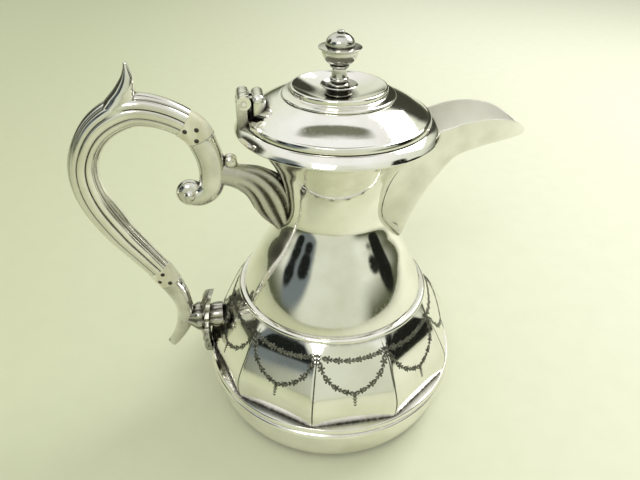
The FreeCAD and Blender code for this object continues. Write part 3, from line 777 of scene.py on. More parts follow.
def spout_root(around):
    """Where a line along the channel comes out of the neck."""
    low, high = -0.2, 0.6
    for _ in range(ROOT_ROUNDS):
        middle = (low + high) / 2
        spot = spout_spot(middle, around)
        inside = math.hypot(spot.x, spot.y) < height_lookup(NECK_LINE, spot.z) - ROOT_SINK
        low, high = (middle, high) if inside else (low, middle)
    return low


def make_spout():
    mesh = bmesh.new()
    bmesh.ops.create_grid(mesh, x_segments=SPOUT_SIDES, y_segments=SPOUT_LENGTH_STEPS, size=1.0)
    roots = {}
    for vert in mesh.verts:
        around = round(vert.co.x, 5)
        if around not in roots:
            roots[around] = spout_root(around)
        along = lerp(roots[around], 1.0, (vert.co.y + 1) / 2)
        vert.co = spout_spot(along, around) * MM
    bmesh.ops.recalc_face_normals(mesh, faces=mesh.faces)
    bmesh.ops.solidify(mesh, geom=mesh.faces[:], thickness=WALL * MM)
    line_inside(plated("spout", mesh, spout_plate, edge=0.25), SPOUT_MIDDLE)


# Handle

SCROLL = [(-76.8, 141.0), (-70.0, 138.8), (-64.2, 143.0), (-62.4, 152.0), (-63.8, 163.0)]
UPPER_JOINT = (-69.0, 174.0)
GRIP = [
    (-83.0, 182.6), (-97.0, 184.2), (-112.0, 175.8), (-121.3, 160.0), (-121.3, 143.0), (-112.4, 121.0),
    (-103.4, 105.6),
]
LOWER_JOINT = (-94.5, 90.5)
TAIL = [(-88.6, 76.0), (-86.8, 62.0), (-90.0, 50.0), (-97.5, 38.8)]
LINE_STEPS = 24
HANDLE_LINE = flow(SCROLL + [UPPER_JOINT] + GRIP + [LOWER_JOINT] + TAIL, LINE_STEPS)
HANDLE_LENGTHS = running_lengths(HANDLE_LINE)
HANDLE_LENGTH = HANDLE_LENGTHS[-1]
UPPER_MIDDLE = HANDLE_LENGTHS[len(SCROLL) * LINE_STEPS]
LOWER_MIDDLE = HANDLE_LENGTHS[(len(SCROLL) + 1 + len(GRIP)) * LINE_STEPS]
UPPER_START, UPPER_END = UPPER_MIDDLE - COLLAR_LENGTH / 2, UPPER_MIDDLE + COLLAR_LENGTH / 2
LOWER_START, LOWER_END = LOWER_MIDDLE - COLLAR_LENGTH / 2, LOWER_MIDDLE + COLLAR_LENGTH / 2


def handle_spot(distance):
    distance = min(max(distance, 0.0), HANDLE_LENGTH)
    number = next(i for i, length in enumerate(HANDLE_LENGTHS[1:]) if length >= distance - 1e-9)
    share = (distance - HANDLE_LENGTHS[number]) / (HANDLE_LENGTHS[number + 1] - HANDLE_LENGTHS[number])
    return HANDLE_LINE[number].lerp(HANDLE_LINE[number + 1], share)


def handle_place(distance):
    """Matrix on the centre line: local X out of the loop, local Y across it, local Z along it."""
    spot = handle_spot(distance)
    ahead = (handle_spot(distance + 0.6) - handle_spot(distance - 0.6)).normalized()
    along = Vector((ahead.x, 0, ahead.y))
    across = Vector((0, 1, 0))
    place = Matrix((across.cross(along), across, along)).transposed().to_4x4()
    place.translation = (spot.x, 0, spot.y)
    return place


def half_thickness(distance):
    full = GRIP_THICKNESS / 2
    stops = [(0.0, 0.74), (0.5 * UPPER_START, 0.86), (UPPER_START, 0.93)]
    for share, size in ((0.2, 1.04), (0.4, 0.9), (0.7, 1.05)):
        stops.append((lerp(UPPER_END, LOWER_START, share), size))
    stops += [(LOWER_START, 0.88), (lerp(LOWER_END, HANDLE_LENGTH, 0.5), 0.64), (HANDLE_LENGTH, 0.40)]
    for (near, low), (far, high) in zip(stops, stops[1:]):
        if distance <= far + 1e-9:
            share = (distance - near) / (far - near)
            return full * lerp(low, high, ease(share))
    return full * stops[-1][1]


def half_width(distance):
    return half_thickness(distance) * GRIP_WIDTH / GRIP_THICKNESS


def handle_ring(distance, shape, size=1.0):
    place = handle_place(distance)
    high, wide = half_thickness(distance) * size, half_width(distance) * size
    ring = []
    for angle in turns(HANDLE_SIDES):
        share = shape(angle)
        ring.append(place @ Vector((high * share * math.cos(angle), wide * share * math.sin(angle), 0)))
    return ring


def smooth_section(angle):
    return 1.0


# Reeds round the grip: angles of the broad and the narrow ones, and radii as shares of the section
BROAD_REED = 72.0
NARROW_REED = 36.0
REED_VALLEY = 0.87
REED_HEIGHT = 0.125
# How far up the reeds the painted shade and dirt of the valleys reach, and the least dirt on the reed tops.
VALLEY_SHADE_AND_DIRT_HEIGHT = 0.112
REED_DIRT = 0.13


def reeded(angle):
    """Broad reeds outside and inside the loop and three narrow reeds on each flank, with sharp valleys."""
    turn = math.degrees(angle) % 360.0
    half = BROAD_REED / 2
    if turn < half or turn > 360.0 - half:
        share = ((turn + half) % 360.0) / BROAD_REED
    elif 180.0 - half < turn < 180.0 + half:
        share = (turn - 180.0 + half) / BROAD_REED
    else:
        share = (turn % NARROW_REED) / NARROW_REED
    return REED_VALLEY + REED_HEIGHT * math.sqrt(max(1 - (2 * share - 1) ** 2, 0.0))


def reed_valley_shade_and_dirt(angle):
    """Painted shade and dirt in the valleys between the reeds, most at their bottom."""
    return max(1.0 - (reeded(angle) - REED_VALLEY) / VALLEY_SHADE_AND_DIRT_HEIGHT, REED_DIRT)


def handle_tube(name, node, material, start, end, count, shape, sizes=None, extra=None, edge=0.15):
    mesh = bmesh.new()
    rings = []
    for step in range(count):
        share = step / (count - 1)
        rings.append(handle_ring(lerp(start, end, share), shape, sizes(share) if sizes else 1.0))
    skin(mesh, rings)
    # Reeded tubes store painted shade and dirt in their valleys.
    if shape is reeded:
        row = [reed_valley_shade_and_dirt(angle) for angle in turns(HANDLE_SIDES)]
        store_shade_and_grime(mesh, row * count)
    if extra:
        extra(mesh)
    return dress(plain_object(name, mesh), node, material, edge)


def scroll_ball(mesh):
    """Volute that ends the scroll: a thick disc with a raised boss on each side."""
    place = moved(SCROLL[0][0] + 2.4, 0, SCROLL[0][1] - 0.6)
    for radius, half in ((VOLUTE_RADIUS, VOLUTE_HALF), (VOLUTE_RADIUS * 0.6, BOSS_HALF)):
        matrix = place @ sized(radius, half, radius) @ Matrix.Rotation(math.pi / 2, 4, "X")
        bmesh.ops.create_uvsphere(mesh, u_segments=48, v_segments=32, radius=1.0, matrix=matrix)


def collar_swell(share):
    """The collar is a little fuller in the middle and necked at its two ends."""
    edge = min(share, 1 - share)
    return 0.985 if edge < 0.04 else 1.0 + 0.025 * math.sin(math.pi * share)


GRIP_RINGS = 130
SOCKET_RINGS = 60
COLLAR_RINGS = 26
SCROLL_START = 2.0


def make_handle():
    handle_tube("handle_grip.plated", "handle_grip", cast, UPPER_END, LOWER_START, GRIP_RINGS, reeded, edge=0)
    sockets = (
        ("upper_socket", SCROLL_START, UPPER_START, scroll_ball),
        ("lower_socket", LOWER_END, HANDLE_LENGTH, None),
    )
    for node, start, end, extra in sockets:
        handle_tube(
            node + ".plated", node, socket_plate, start, end, SOCKET_RINGS, smooth_section, extra=extra
        )
    collars = (("upper_insulator", UPPER_START, UPPER_END), ("lower_insulator", LOWER_START, LOWER_END))
    for node, start, end in collars:
        handle_tube(node + ".turned", node, bone, start, end, COLLAR_RINGS, smooth_section, collar_swell)


# Three pins in each collar, as (out of the loop, along the handle) from the middle of the collar
PIN_SPOTS = ((-1.5, -3.4), (2.4, 0.0), (-1.5, 3.4))
PIN_HEAD_RADIUS = 1.15
PIN_HEAD_HEIGHT = 0.5


def make_collar_pins():
    """Domed heads of the cross pins, on both sides of each collar."""
    mesh = bmesh.new()
    head = sized(PIN_HEAD_RADIUS, PIN_HEAD_HEIGHT, PIN_HEAD_RADIUS)
    for middle in (UPPER_MIDDLE, LOWER_MIDDLE):
        high, wide = half_thickness(middle), half_width(middle)
        for out, along in PIN_SPOTS:
            y = wide * math.sqrt(1 - (out / high) ** 2) * 1.01
            for side in (1, -1):
                spot = handle_place(middle) @ Vector((out, side * y, along))
                matrix = moved(*spot) @ head
                bmesh.ops.create_uvsphere(mesh, u_segments=20, v_segments=12, radius=1.0, matrix=matrix)
    dress(plain_object("insulator_pins.heads", mesh), "insulator_pins", dark_metal, edge=0)


THUMB_SIDES = 48
THUMB_ROOT_HEIGHT = 14


def make_thumb_leaf():
    """Leaf that grows out of the back of the grip and bends up to a point, hollowed on its front."""
    top = Vector(GRIP[1])
    levels = [  # back from the top of the grip, up from it, half depth and half width
        (4.5, -0.2, 14.0, 6.4), (3.3, 4.3, 11.0, 6.0), (1.0, 7.8, 7.8, 5.4), (-1.4, 11.0, 5.2, 4.8),
        (-3.0, 14.4, 3.4, 3.8), (-3.3, 18.0, 1.9, 2.6), (-3.1, 21.4, 0.8, 1.2),
    ]
    centres = flow([(top.x - back, top.y + up) for back, up, deep, wide in levels], 10)
    sizes = flow([(deep, wide) for back, up, deep, wide in levels], 10)
    rings = []
    for centre, size in zip(centres, sizes):
        ring = []
        for angle in turns(THUMB_SIDES):
            front = max(math.cos(angle), 0.0)
            ridge = 1.0 - 0.26 * front ** 4 + 0.05 * max(-math.cos(angle), 0.0) ** 12
            reach = size.x * ridge * math.cos(angle)
            sink = 0.85 * min(reach, 0.0) * max(1 - (centre.y - top.y) / THUMB_ROOT_HEIGHT, 0.0)
            ring.append((centre.x + reach, size.y * math.sin(angle), centre.y + sink))
        rings.append(ring)
    mesh = bmesh.new()
    skin(mesh, rings)
    plated("thumb_leaf", mesh, cast, edge=0.2)


# Brackets

# Each station of the arm: its place, as shares from the scroll to the waist and from the waist to the scroll,
# its lean in degrees, half height and half width
ARM_STATIONS = [
    (0.039, 0.942, 12, 6.6, 4.8), (0.29, 0.865, 20, 6.4, 4.6), (0.568, 0.704, 33, 9.0, 5.2),
    (0.819, 0.327, 50, 12.0, 6.6), (1.014, -0.231, 70, 8.0, 6.2), (1.111, -0.692, 78, 3.0, 3.6),
]
ARM_KNOB_RADIUS = 3.7
ARM_SIDES = 120
ARM_VEINS = 10
VEIN_START = 0.22
VEIN_FADE = 0.3
VEIN_DEPTH = 0.16
VEIN_TWIST = 0.22
# Stored amounts of the cast pieces: an even base of dirt, and more by the depth of vein and flute grooves,
# which is painted shade as well as dirt, up to a limit on the arm.
CAST_DIRT = 0.42
GROOVE_SHADE_AND_DIRT_GAIN = 5.0
GROOVE_SHADE_AND_DIRT_LIMIT = 0.55


def arm_spot(along, rise):
    bend = Vector(SCROLL[3])
    return Vector((lerp(bend.x, -WAIST_RADIUS, along), lerp(WAIST_HEIGHT, bend.y, rise)))


def make_upper_bracket():
    """Arm that deepens into a veined leaf against the waist, with a knob on top."""
    centres = flow([arm_spot(along, rise) for along, rise, *shape in ARM_STATIONS], 12)
    shapes = flow([shape for along, rise, *shape in ARM_STATIONS], 12)
    rings, shade_and_dirt = [], []
    for number, (centre, shape) in enumerate(zip(centres, shapes)):
        lean, high, wide = math.radians(shape.x), shape.y, shape.z
        leafy = clamp((number / len(centres) - VEIN_START) / VEIN_FADE)
        ring = []
        for angle in turns(ARM_SIDES):
            vein = 1.0 - VEIN_DEPTH * leafy * flute(ARM_VEINS * angle + VEIN_TWIST * number)
            up, side = high * vein * math.cos(angle), wide * vein * math.sin(angle)
            ring.append((centre.x + up * math.sin(lean), side, centre.y + up * math.cos(lean)))
            # Painted shade and dirt deepen with the vein grooves.
            shade_and_dirt.append(CAST_DIRT + min((1.0 - vein) * GROOVE_SHADE_AND_DIRT_GAIN, GROOVE_SHADE_AND_DIRT_LIMIT))
        rings.append(ring)
    mesh = bmesh.new()
    skin(mesh, rings)
    store_shade_and_grime(mesh, shade_and_dirt)
    obj = carve(plain_object("upper_bracket.plated", mesh), neck_core())
    knob = arm_spot(0.256, 1.173)
    mesh = bmesh.new()
    bmesh.ops.create_uvsphere(
        mesh, u_segments=40, v_segments=24, radius=ARM_KNOB_RADIUS * MM,
        matrix=moved(knob.x, 0, knob.y),
    )
    take_in(mesh, obj)
    plated("upper_bracket", mesh, cast, edge=0)


STEM_HEIGHT = 57.0
STEM_SIDES = 80
STEM_FLUTES = 8
FLUTE_DEPTH = 0.10
LEAF_STEPS = 32
NOTCH_DEPTH = 0.10
RIB_HEIGHT = 0.55
# Half width of the leaf, and x of its front, by height
LEAF_LINE = flow([(0.3, 27.6), (5.6, 38.0), (9.4, 55.0), (4.6, 68.0), (0.3, 76.4)], 14)
BLADE_LINE = flow([(-77.2, 27.6), (-78.2, 44.0), (-77.2, 62.0), (-72.8, 76.4)], 14)


def leaf_plate():
    """Pointed leaf with a midrib, side veins and a notched edge, as a closed plate."""
    mesh = bmesh.new()
    rings, shade_and_dirt = [], []
    for spot in LEAF_LINE:
        half = spot.x * (1 + NOTCH_DEPTH * math.sin(spot.y * 1.25))
        front = height_lookup(BLADE_LINE, spot.y)
        ring = []
        for step in range(LEAF_STEPS + 1):
            across = 2 * step / LEAF_STEPS - 1
            ribs = RIB_HEIGHT * abs(math.sin(4.5 * math.pi * across / 2 + spot.y * 0.45))
            midrib = max(1 - abs(across) * 5, 0.0)
            ring.append((front - ribs - midrib + 1.8 * across ** 2, across * half, spot.y))
            # Painted shade and dirt: the leaf's front is dark but lighter on its raised ribs and midrib, and
            # its back against the bowl is evenly half dark.
            shade_and_dirt.append(max(1.0 - 0.8 * ribs - 0.6 * midrib, 0.45))
        for step in range(LEAF_STEPS + 1):
            across = 1 - 2 * step / LEAF_STEPS
            ring.append((front + 2.0 + 1.6 * across ** 2, across * half, spot.y))
            shade_and_dirt.append(0.5)
        rings.append(ring)
    skin(mesh, rings)
    store_shade_and_grime(mesh, shade_and_dirt)
    return plain_object("leaf_plate", mesh)


def leaf_stem():
    """Fluted bulb between the leaf and the handle."""
    sizes = [(16.0, 4.2), (11.0, 5.0), (5.5, 8.4), (0.5, 6.4), (-4.0, 7.4), (-8.5, 7.4)]
    rings, shade_and_dirt = [], []
    for spot in flow([(-BOWL_RADIUS - out, radius) for out, radius in sizes], 10):
        ring = []
        for angle in turns(STEM_SIDES):
            lobe = spot.y * (1 - FLUTE_DEPTH * flute(STEM_FLUTES * angle))
            ring.append((spot.x, lobe * math.sin(angle), STEM_HEIGHT + lobe * math.cos(angle)))
            # Painted shade and dirt, deeper in the flutes.
            shade_and_dirt.append(CAST_DIRT + GROOVE_SHADE_AND_DIRT_GAIN * (1.0 - lobe / spot.y))
        rings.append(ring)
    mesh = bmesh.new()
    skin(mesh, rings)
    store_shade_and_grime(mesh, shade_and_dirt)
    return plain_object("leaf_stem", mesh)


def make_lower_bracket():
    mesh = bmesh.new()
    for part in (leaf_plate(), leaf_stem()):
        take_in(mesh, carve(part, bowl_core()))
    plated("lower_bracket", mesh, cast, edge=0)


# Hinge

def knuckle_span(number, gap):
    """Low and high Y of one place on the barrel, made shorter by half a gap at each end."""
    pitch = 2 * HINGE_HALF_WIDTH / KNUCKLES
    low = -HINGE_HALF_WIDTH + number * pitch
    return low + gap / 2, low + pitch - gap / 2


def add_knuckles(mesh, first, radius, gap):
    """Every second knuckle of the barrel, counted from the first."""
    for number in range(first, KNUCKLES, 2):
        low, high = knuckle_span(number, gap)
        matrix = moved(HINGE_X, (low + high) / 2, HINGE_HEIGHT) @ Matrix.Rotation(math.pi / 2, 4, "X")
        bmesh.ops.create_cone(
            mesh, cap_ends=True, segments=64, radius1=radius * MM, radius2=radius * MM,
            depth=(high - low) * MM, matrix=matrix,
        )


def make_hinge_bracket():
    """Post that stands on the rim and carries the odd knuckles."""
    low = NECK_TOP + POST_SINK
    back = HINGE_X - KNUCKLE_RADIUS
    front = back + POST_DEPTH
    swell = [(back - 0.5, lerp(low, HINGE_HEIGHT, 0.55)), (back + 0.6, low)]
    points = outline((front, low), [(front, HINGE_HEIGHT)], [(back, HINGE_HEIGHT)], swell)
    rings = []
    for step in range(POST_STEPS + 1):
        across = 2 * step / POST_STEPS - 1
        waist = [1.0 - POST_TAPER * (1 - (spot.y - low) / (HINGE_HEIGHT - low)) for spot in points]
        rings.append([
            (spot.x, across * HINGE_HALF_WIDTH * narrow, spot.y) for spot, narrow in zip(points, waist)
        ])
    mesh = bmesh.new()
    skin(mesh, rings)
    # Painted shade, darker towards the foot of the post on the rim.
    store_shade_and_grime(mesh, [0.85 - 0.6 * (spot.y - low) / (HINGE_HEIGHT - low) for spot in points] * len(rings))
    room = bmesh.new()
    add_knuckles(room, 1, KNUCKLE_RADIUS + HINGE_GAP, -HINGE_GAP)
    post = carve(plain_object("hinge_post", mesh), plain_object("hinge_room", room))
    mesh = bmesh.new()
    take_in(mesh, post)
    add_knuckles(mesh, 0, KNUCKLE_RADIUS, HINGE_GAP)
    plated("hinge_bracket", mesh, cast, edge=0.5)


def make_hinge_leaf():
    """Smooth cushion on the lid beside the barrel, rounded at both ends, with a web to each even knuckle."""
    near = HINGE_X + KNUCKLE_RADIUS + HINGE_GAP
    far = near + CUSHION_THICKNESS
    middle = (near + far) / 2
    base = LID_SEAT + CUSHION_FOOT
    shoulder = HINGE_HEIGHT + 2.1
    side_top = HINGE_HEIGHT - 0.6
    ridge = HINGE_HEIGHT + KNUCKLE_RADIUS
    crown = [(near + 0.9, shoulder), (middle, ridge), (far - 0.9, shoulder), (far, side_top)]
    points = outline((near, base), [(near, side_top)], crown, [(far, base + 4.0)])
    rings = []
    for step in range(CUSHION_STEPS + 1):
        across = math.sin(math.pi / 2 * (2 * step / CUSHION_STEPS - 1)) * 0.998
        past = max(abs(across) - CUSHION_STRAIGHT, 0.0) / (1 - CUSHION_STRAIGHT)
        size = math.sqrt(max(1 - past ** 2.5, 0.0))
        rise = lerp(0.6, 1.0, size)
        y = across * HINGE_HALF_WIDTH
        rings.append([(lerp(middle, spot.x, size), y, lerp(base, spot.y, rise)) for spot in points])
    mesh = bmesh.new()
    skin(mesh, rings)
    add_knuckles(mesh, 1, KNUCKLE_RADIUS, HINGE_GAP)
    for number in range(1, KNUCKLES, 2):
        low, high = knuckle_span(number, HINGE_GAP)
        place = moved((HINGE_X + near) / 2 + 0.5, (low + high) / 2, HINGE_HEIGHT)
        shape = sized(near - HINGE_X + 1.0, high - low, WEB_THICKNESS)
        bmesh.ops.create_cube(mesh, size=1.0, matrix=place @ shape)
    plated("hinge_leaf", mesh, cast, edge=0.45)


# Lid

def lid_line():
    edge, base = LID_RADIUS - 1.4, LID_SEAT + 2.6
    shares = [(0.23, 0.3), (0.6, 0.7), (1.0, 1.0)]
    return [(lerp(edge, CAP_RADIUS + 0.6, into), lerp(base, LID_CROWN, up)) for into, up in shares]


def make_lid_dome():
    inner_edge = BEZEL_RADIUS - WALL
    under = [(radius - 0.6, height - WALL) for radius, height in lid_line()[::-1]]
    mesh = spun_mesh(
        (inner_edge, LID_SEAT), [(LID_RADIUS, LID_SEAT)], [(LID_RADIUS, LID_SEAT + 1.2)],
        [(LID_RADIUS - 0.7, LID_SEAT + 2.4)], [(LID_RADIUS - 1.4, LID_SEAT + 2.6)], lid_line(),
        [(SEAT_HOLE_RADIUS, LID_CROWN)], [(SEAT_HOLE_RADIUS, LID_CROWN - WALL)], [under[0]],
        under[1:] + [(inner_edge, LID_SEAT + 2.4)],
    )
    bmesh.ops.remove_doubles(mesh, verts=mesh.verts, dist=WELD_DISTANCE * MM)
    beside_post = HINGE_X - KNUCKLE_RADIUS + POST_DEPTH + HINGE_GAP
    trim = bmesh.ops.bisect_plane(
        mesh, geom=mesh.verts[:] + mesh.edges[:] + mesh.faces[:], plane_co=(beside_post * MM, 0, 0),
        plane_no=(-1, 0, 0), clear_outer=True,
    )
    cut_edges = [part for part in trim["geom_cut"] if isinstance(part, bmesh.types.BMEdge)]
    bmesh.ops.edgeloop_fill(mesh, edges=cut_edges)
    plated("lid_dome", mesh, plate, edge=0.15)


def make_lid_cap():
    under = LID_CROWN - WALL
    step_edge = CAP_TOP_RADIUS + 0.7
    border = [(CAP_RADIUS - 0.2, LID_CROWN + 0.9), (CAP_RADIUS - 1.2, LID_CROWN + 1.3)]
    bead = [(CAP_TOP_RADIUS, CAP_TOP), (CAP_TOP_RADIUS - 1.2, CAP_TOP - 0.3)]
    dish = [(lerp(CAP_SEAT_RADIUS, CAP_TOP_RADIUS, 0.45), LID_CROWN + 1.3), (CAP_SEAT_RADIUS, LID_CROWN)]
    spun(
        "lid_cap", plate, (STUD_RADIUS, under), [(CAP_SEAT_RADIUS, under)],
        [(SEAT_HOLE_RADIUS - 0.2, LID_CROWN)], [(CAP_RADIUS, LID_CROWN)], border,
        [(CAP_TOP_RADIUS + 1.4, LID_CROWN + 1.6)], [(step_edge, LID_CROWN + 2.2)],
        [(step_edge, CAP_TOP - 0.9)], bead, dish, [(STUD_RADIUS, LID_CROWN)],
    )


# Knob

STEM_BOTTOM = LID_CROWN + 3.4
URN_BOTTOM = STEM_BOTTOM + 10.6
KNOB_CAP_BOTTOM = URN_BOTTOM + 8.0
KNOB_TOP = KNOB_CAP_BOTTOM + 7.0
STEM_RADIUS = 4.2
STEM_RING_PITCH = 2.33
SAUCER_RADIUS = 9.0
FLANGE_RADIUS = 10.0
KNOB_CAP_RADIUS = 6.6


def make_knob_foot():
    ring = [(6.5, LID_CROWN + 0.6), (5.3, LID_CROWN + 1.5)]
    saucer = [(6.4, LID_CROWN + 2.6), (SAUCER_RADIUS, LID_CROWN + 4.6)]
    dish = [(6.2, STEM_BOTTOM + 0.5), (STEM_RADIUS, STEM_BOTTOM)]
    spun(
        "finial_foot", knob_plate, (STUD_RADIUS, LID_CROWN), [(6.2, LID_CROWN)], ring, saucer,
        [(SAUCER_RADIUS - 0.5, LID_CROWN + 5.0)], dish, [(STUD_RADIUS, STEM_BOTTOM)],
    )


def make_knob_stem():
    runs = [[(STEM_RADIUS, STEM_BOTTOM)]]
    for step in range(2):
        base = STEM_BOTTOM + step * STEM_RING_PITCH
        bulge = (STEM_RADIUS + 0.8 - 0.5 * step, base + STEM_RING_PITCH / 2)
        runs.append([bulge, (STEM_RADIUS - 0.5, base + STEM_RING_PITCH)])
    runs += [[(STEM_RADIUS - 0.8, URN_BOTTOM - 2.8)], [(STEM_RADIUS - 0.8, URN_BOTTOM - 1.8)]]
    runs.append([(STEM_RADIUS + 0.3, URN_BOTTOM - 0.95), (STEM_RADIUS - 0.3, URN_BOTTOM)])
    spun("finial_stem", knob_plate, (STUD_RADIUS, STEM_BOTTOM), *runs, [(STUD_RADIUS, URN_BOTTOM)])


def make_knob_urn():
    bowl = [(6.72, URN_BOTTOM + 1.6), (8.2, URN_BOTTOM + 4.4), (8.4, URN_BOTTOM + 6.56)]
    spun(
        "finial_urn", knob_plate, (STUD_RADIUS, URN_BOTTOM), [(STEM_RADIUS - 0.3, URN_BOTTOM)], bowl,
        [(FLANGE_RADIUS, KNOB_CAP_BOTTOM - 1.0)], [(FLANGE_RADIUS, KNOB_CAP_BOTTOM - 0.4)],
        [(KNOB_CAP_RADIUS + 0.4, KNOB_CAP_BOTTOM)], [(STUD_RADIUS, KNOB_CAP_BOTTOM)],
    )


def make_knob_cap():
    dome = [(6.2, KNOB_CAP_BOTTOM + 2.6), (3.96, KNOB_CAP_BOTTOM + 4.76), (1.32, KNOB_CAP_BOTTOM + 5.6)]
    bead = [(1.58, KNOB_CAP_BOTTOM + 6.37), (0.0, KNOB_TOP)]
    spun("finial_cap", knob_plate, (0, KNOB_CAP_BOTTOM), [(KNOB_CAP_RADIUS, KNOB_CAP_BOTTOM)], dome, bead)


def paint_kept_nodes():
    """CAD nodes that stay as they are get the same finishes."""
    for node, material in (
        ("lid_bezel", inner_plate), ("hinge_pin", inner_plate), ("finial_stud", brass), ("finial_nut", brass),
    ):
        data = frame["nodes"][node].data
        data.materials.clear()
        data.materials.append(material)


# Studio, with its floor and lamps in metres

FLOOR_RADIUS = 4.0
FLOOR_DROP = 0.0002
CAMERA_DISTANCE = 241.8
CAMERA_HEIGHT = 270.9
CAMERA_PITCH = math.radians(34.70)
CAMERA_YAW = math.radians(-1.78)
CAMERA_ROLL = math.radians(1.06)
HANDLE_TURN = math.radians(12.0)
FOCAL_PIXELS = 520.0
PICTURE_WIDTH = 640.0


def add_camera():
    """Camera of the photograph: in front, well above the lid, with the handle turned a little forward."""
    flat = math.cos(CAMERA_PITCH)
    ahead = Vector((math.sin(CAMERA_YAW) * flat, math.cos(CAMERA_YAW) * flat, -math.sin(CAMERA_PITCH)))
    level = Vector((math.cos(CAMERA_YAW), -math.sin(CAMERA_YAW), 0))
    above = level.cross(ahead)
    right = level * math.cos(CAMERA_ROLL) + above * math.sin(CAMERA_ROLL)
    above = above * math.cos(CAMERA_ROLL) - level * math.sin(CAMERA_ROLL)
    pose = Matrix((right, above, -ahead)).transposed().to_4x4()
    pose.translation = Vector((0, -CAMERA_DISTANCE, CAMERA_HEIGHT)) * MM
    lens = bpy.data.cameras.new("photo_camera")
    lens.sensor_width = 36.0
    lens.lens = FOCAL_PIXELS / PICTURE_WIDTH * lens.sensor_width
    lens.clip_start = 0.01
    camera = bpy.data.objects.new("photo_camera", lens)
    bpy.context.scene.collection.objects.link(camera)
    camera.matrix_world = Matrix.Rotation(-HANDLE_TURN, 4, "Z") @ pose
    bpy.context.scene.camera = camera


def add_floor():
    mesh = bmesh.new()
    bmesh.ops.create_circle(mesh, cap_ends=True, segments=96, radius=FLOOR_RADIUS)
    floor = plain_object("floor", mesh)
    floor.location.z = -FLOOR_DROP
    material, nodes = new_material("pale_floor")
    place = nodes.add("ShaderNodeTexCoord").outputs["Object"]
    spread = nodes.add("ShaderNodeSeparateXYZ")
    nodes.link(place, spread.inputs[0])
    # Painted shade: the floor darkens towards the side away from the window lamp; the grain is its own
    # colour.
    side = ramp(nodes, spread.outputs["X"], -0.45, 0.55)
    shaded_floor_tint = blend_colors(nodes, side, (0.62, 0.65, 0.45), (0.86, 0.87, 0.73))
    grain = noise(nodes, place, 60.0)
    color = blend_colors(nodes, ramp(nodes, grain, 0.3, 0.8, 0.0, 0.06), shaded_floor_tint, (0.45, 0.45, 0.30))
    shader = nodes.add("ShaderNodeBsdfPrincipled", in_Roughness=0.6)
    nodes.link(color, shader.inputs["Base Color"])
    nodes.link(shader.outputs["BSDF"], nodes.add("ShaderNodeOutputMaterial").inputs["Surface"])
    floor.data.materials.append(material)


def soft_patch(nodes, direction, turn, height, inner, outer):
    """1 inside a soft-edged round patch of the sky and 0 outside it, by angles from its middle in radians."""
    level = math.sqrt(1 - height ** 2)
    dot = nodes.add("ShaderNodeVectorMath", operation="DOT_PRODUCT")
    dot.inputs[1].default_value = (level * math.cos(turn), level * math.sin(turn), height)
    nodes.link(direction, dot.inputs[0])
    return ramp(nodes, dot.outputs["Value"], math.cos(outer), math.cos(inner))


# Light and dark patches of the room: turn, height, inner and outer angle, colour
ROOM_PATCHES = [
    (-1.78, 0.10, 0.55, 0.95, (0.72, 0.75, 0.60)),
    (-2.75, 0.38, 0.28, 0.42, (0.17, 0.20, 0.20)),
    (-2.62, 0.46, 0.11, 0.17, (0.010, 0.012, 0.010)),
    (-2.95, 0.28, 0.10, 0.16, (0.010, 0.012, 0.010)),
    (-0.50, 0.44, 0.14, 0.20, (0.012, 0.013, 0.010)),
    (-0.28, 0.20, 0.17, 0.24, (0.012, 0.013, 0.010)),
    (2.60, 0.35, 0.25, 0.40, (0.05, 0.05, 0.035)),
    (1.00, 0.30, 0.22, 0.34, (0.05, 0.05, 0.035)),
]


# Dark oval overhead that the lid mirrors: its middle and half sizes on the sky, as the camera sees them
OVERHEAD_MIDDLE = (-0.02, 0.21, 0.0)
OVERHEAD_HALF = (0.40, 0.13, 100.0)
OVERHEAD_COLOR = (0.19, 0.20, 0.14)


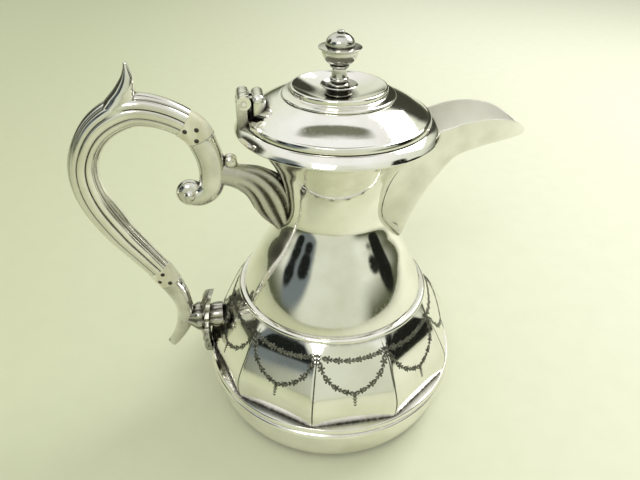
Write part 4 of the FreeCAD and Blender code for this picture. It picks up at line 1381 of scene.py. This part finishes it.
def add_world():
    """Pale room: bright above and dark olive at the horizon, with dark openings that the plate mirrors."""
    world = bpy.data.worlds.new("pale_room")
    bpy.context.scene.world = world
    world.use_nodes = True
    nodes = Nodes(world.node_tree)
    direction = nodes.add("ShaderNodeTexCoord").outputs["Generated"]
    parts = nodes.add("ShaderNodeSeparateXYZ")
    nodes.link(direction, parts.inputs[0])
    z = parts.outputs["Z"]
    color = blend_colors(nodes, ramp(nodes, z, 0.0, 0.38), (0.10, 0.11, 0.06), (0.84, 0.87, 0.72))
    color = blend_colors(nodes, ramp(nodes, z, 0.45, 0.9), color, (1.0, 1.0, 0.97))
    for turn, height, inner, outer, shade in ROOM_PATCHES:
        color = blend_colors(nodes, soft_patch(nodes, direction, turn, height, inner, outer), color, shade)
    oval = nodes.add("ShaderNodeMapping", vector_type="TEXTURE")
    turned = Matrix.Rotation(-HANDLE_TURN, 4, "Z") @ Vector(OVERHEAD_MIDDLE)
    oval.inputs["Location"].default_value = turned
    oval.inputs["Rotation"].default_value = (0.0, 0.0, -HANDLE_TURN)
    oval.inputs["Scale"].default_value = OVERHEAD_HALF
    nodes.link(direction, oval.inputs["Vector"])
    reach = nodes.add("ShaderNodeVectorMath", operation="LENGTH")
    nodes.link(oval.outputs["Vector"], reach.inputs[0])
    shadow = ramp(nodes, reach.outputs["Value"], 0.75, 1.1, 1.0, 0.0)
    color = blend_colors(nodes, shadow, color, OVERHEAD_COLOR)
    mirrored = nodes.add("ShaderNodeBackground", in_Strength=1.0)
    nodes.link(color, mirrored.inputs["Color"])
    plain = nodes.add("ShaderNodeBackground", in_Strength=0.72)
    plain.inputs["Color"].default_value = (0.95, 0.97, 0.86, 1.0)
    path = nodes.add("ShaderNodeLightPath")
    mix = nodes.add("ShaderNodeMixShader")
    nodes.link(path.outputs["Is Glossy Ray"], mix.inputs["Fac"])
    nodes.link(plain.outputs["Background"], mix.inputs[1])
    nodes.link(mirrored.outputs["Background"], mix.inputs[2])
    nodes.link(mix.outputs["Shader"], nodes.add("ShaderNodeOutputWorld").inputs["Surface"])


def add_lamp(name, place, size, power, color):
    data = bpy.data.lights.new(name, "AREA")
    data.shape = "RECTANGLE"
    data.size, data.size_y = size
    data.energy = power
    data.color = color
    lamp = bpy.data.objects.new(name, data)
    bpy.context.scene.collection.objects.link(lamp)
    lamp.location = place
    lamp.rotation_euler = (Vector((0, 0, 0.1)) - lamp.location).to_track_quat("-Z", "Y").to_euler()


def add_studio():
    add_camera()
    add_floor()
    add_world()
    add_lamp("window_light", (0.9, 0.5, 1.1), (0.8, 0.6), 9.0, (1.0, 1.0, 0.94))
    add_lamp("front_light", (-0.5, -1.0, 1.2), (0.5, 0.4), 5.0, (1.0, 0.98, 0.92))
    bpy.context.scene.view_settings.view_transform = "Standard"


make_base_bowl()
make_girdle()
make_panelled_bowl()
make_engraving()
make_crease_shade_strips()
make_shoulder_ring()
make_neck()
make_rim()
make_spout()
make_handle()
make_collar_pins()
make_thumb_leaf()
make_upper_bracket()
make_lower_bracket()
make_hinge_bracket()
make_hinge_leaf()
make_lid_dome()
make_lid_cap()
make_knob_foot()
make_knob_stem()
make_knob_urn()
make_knob_cap()
paint_kept_nodes()
add_studio()
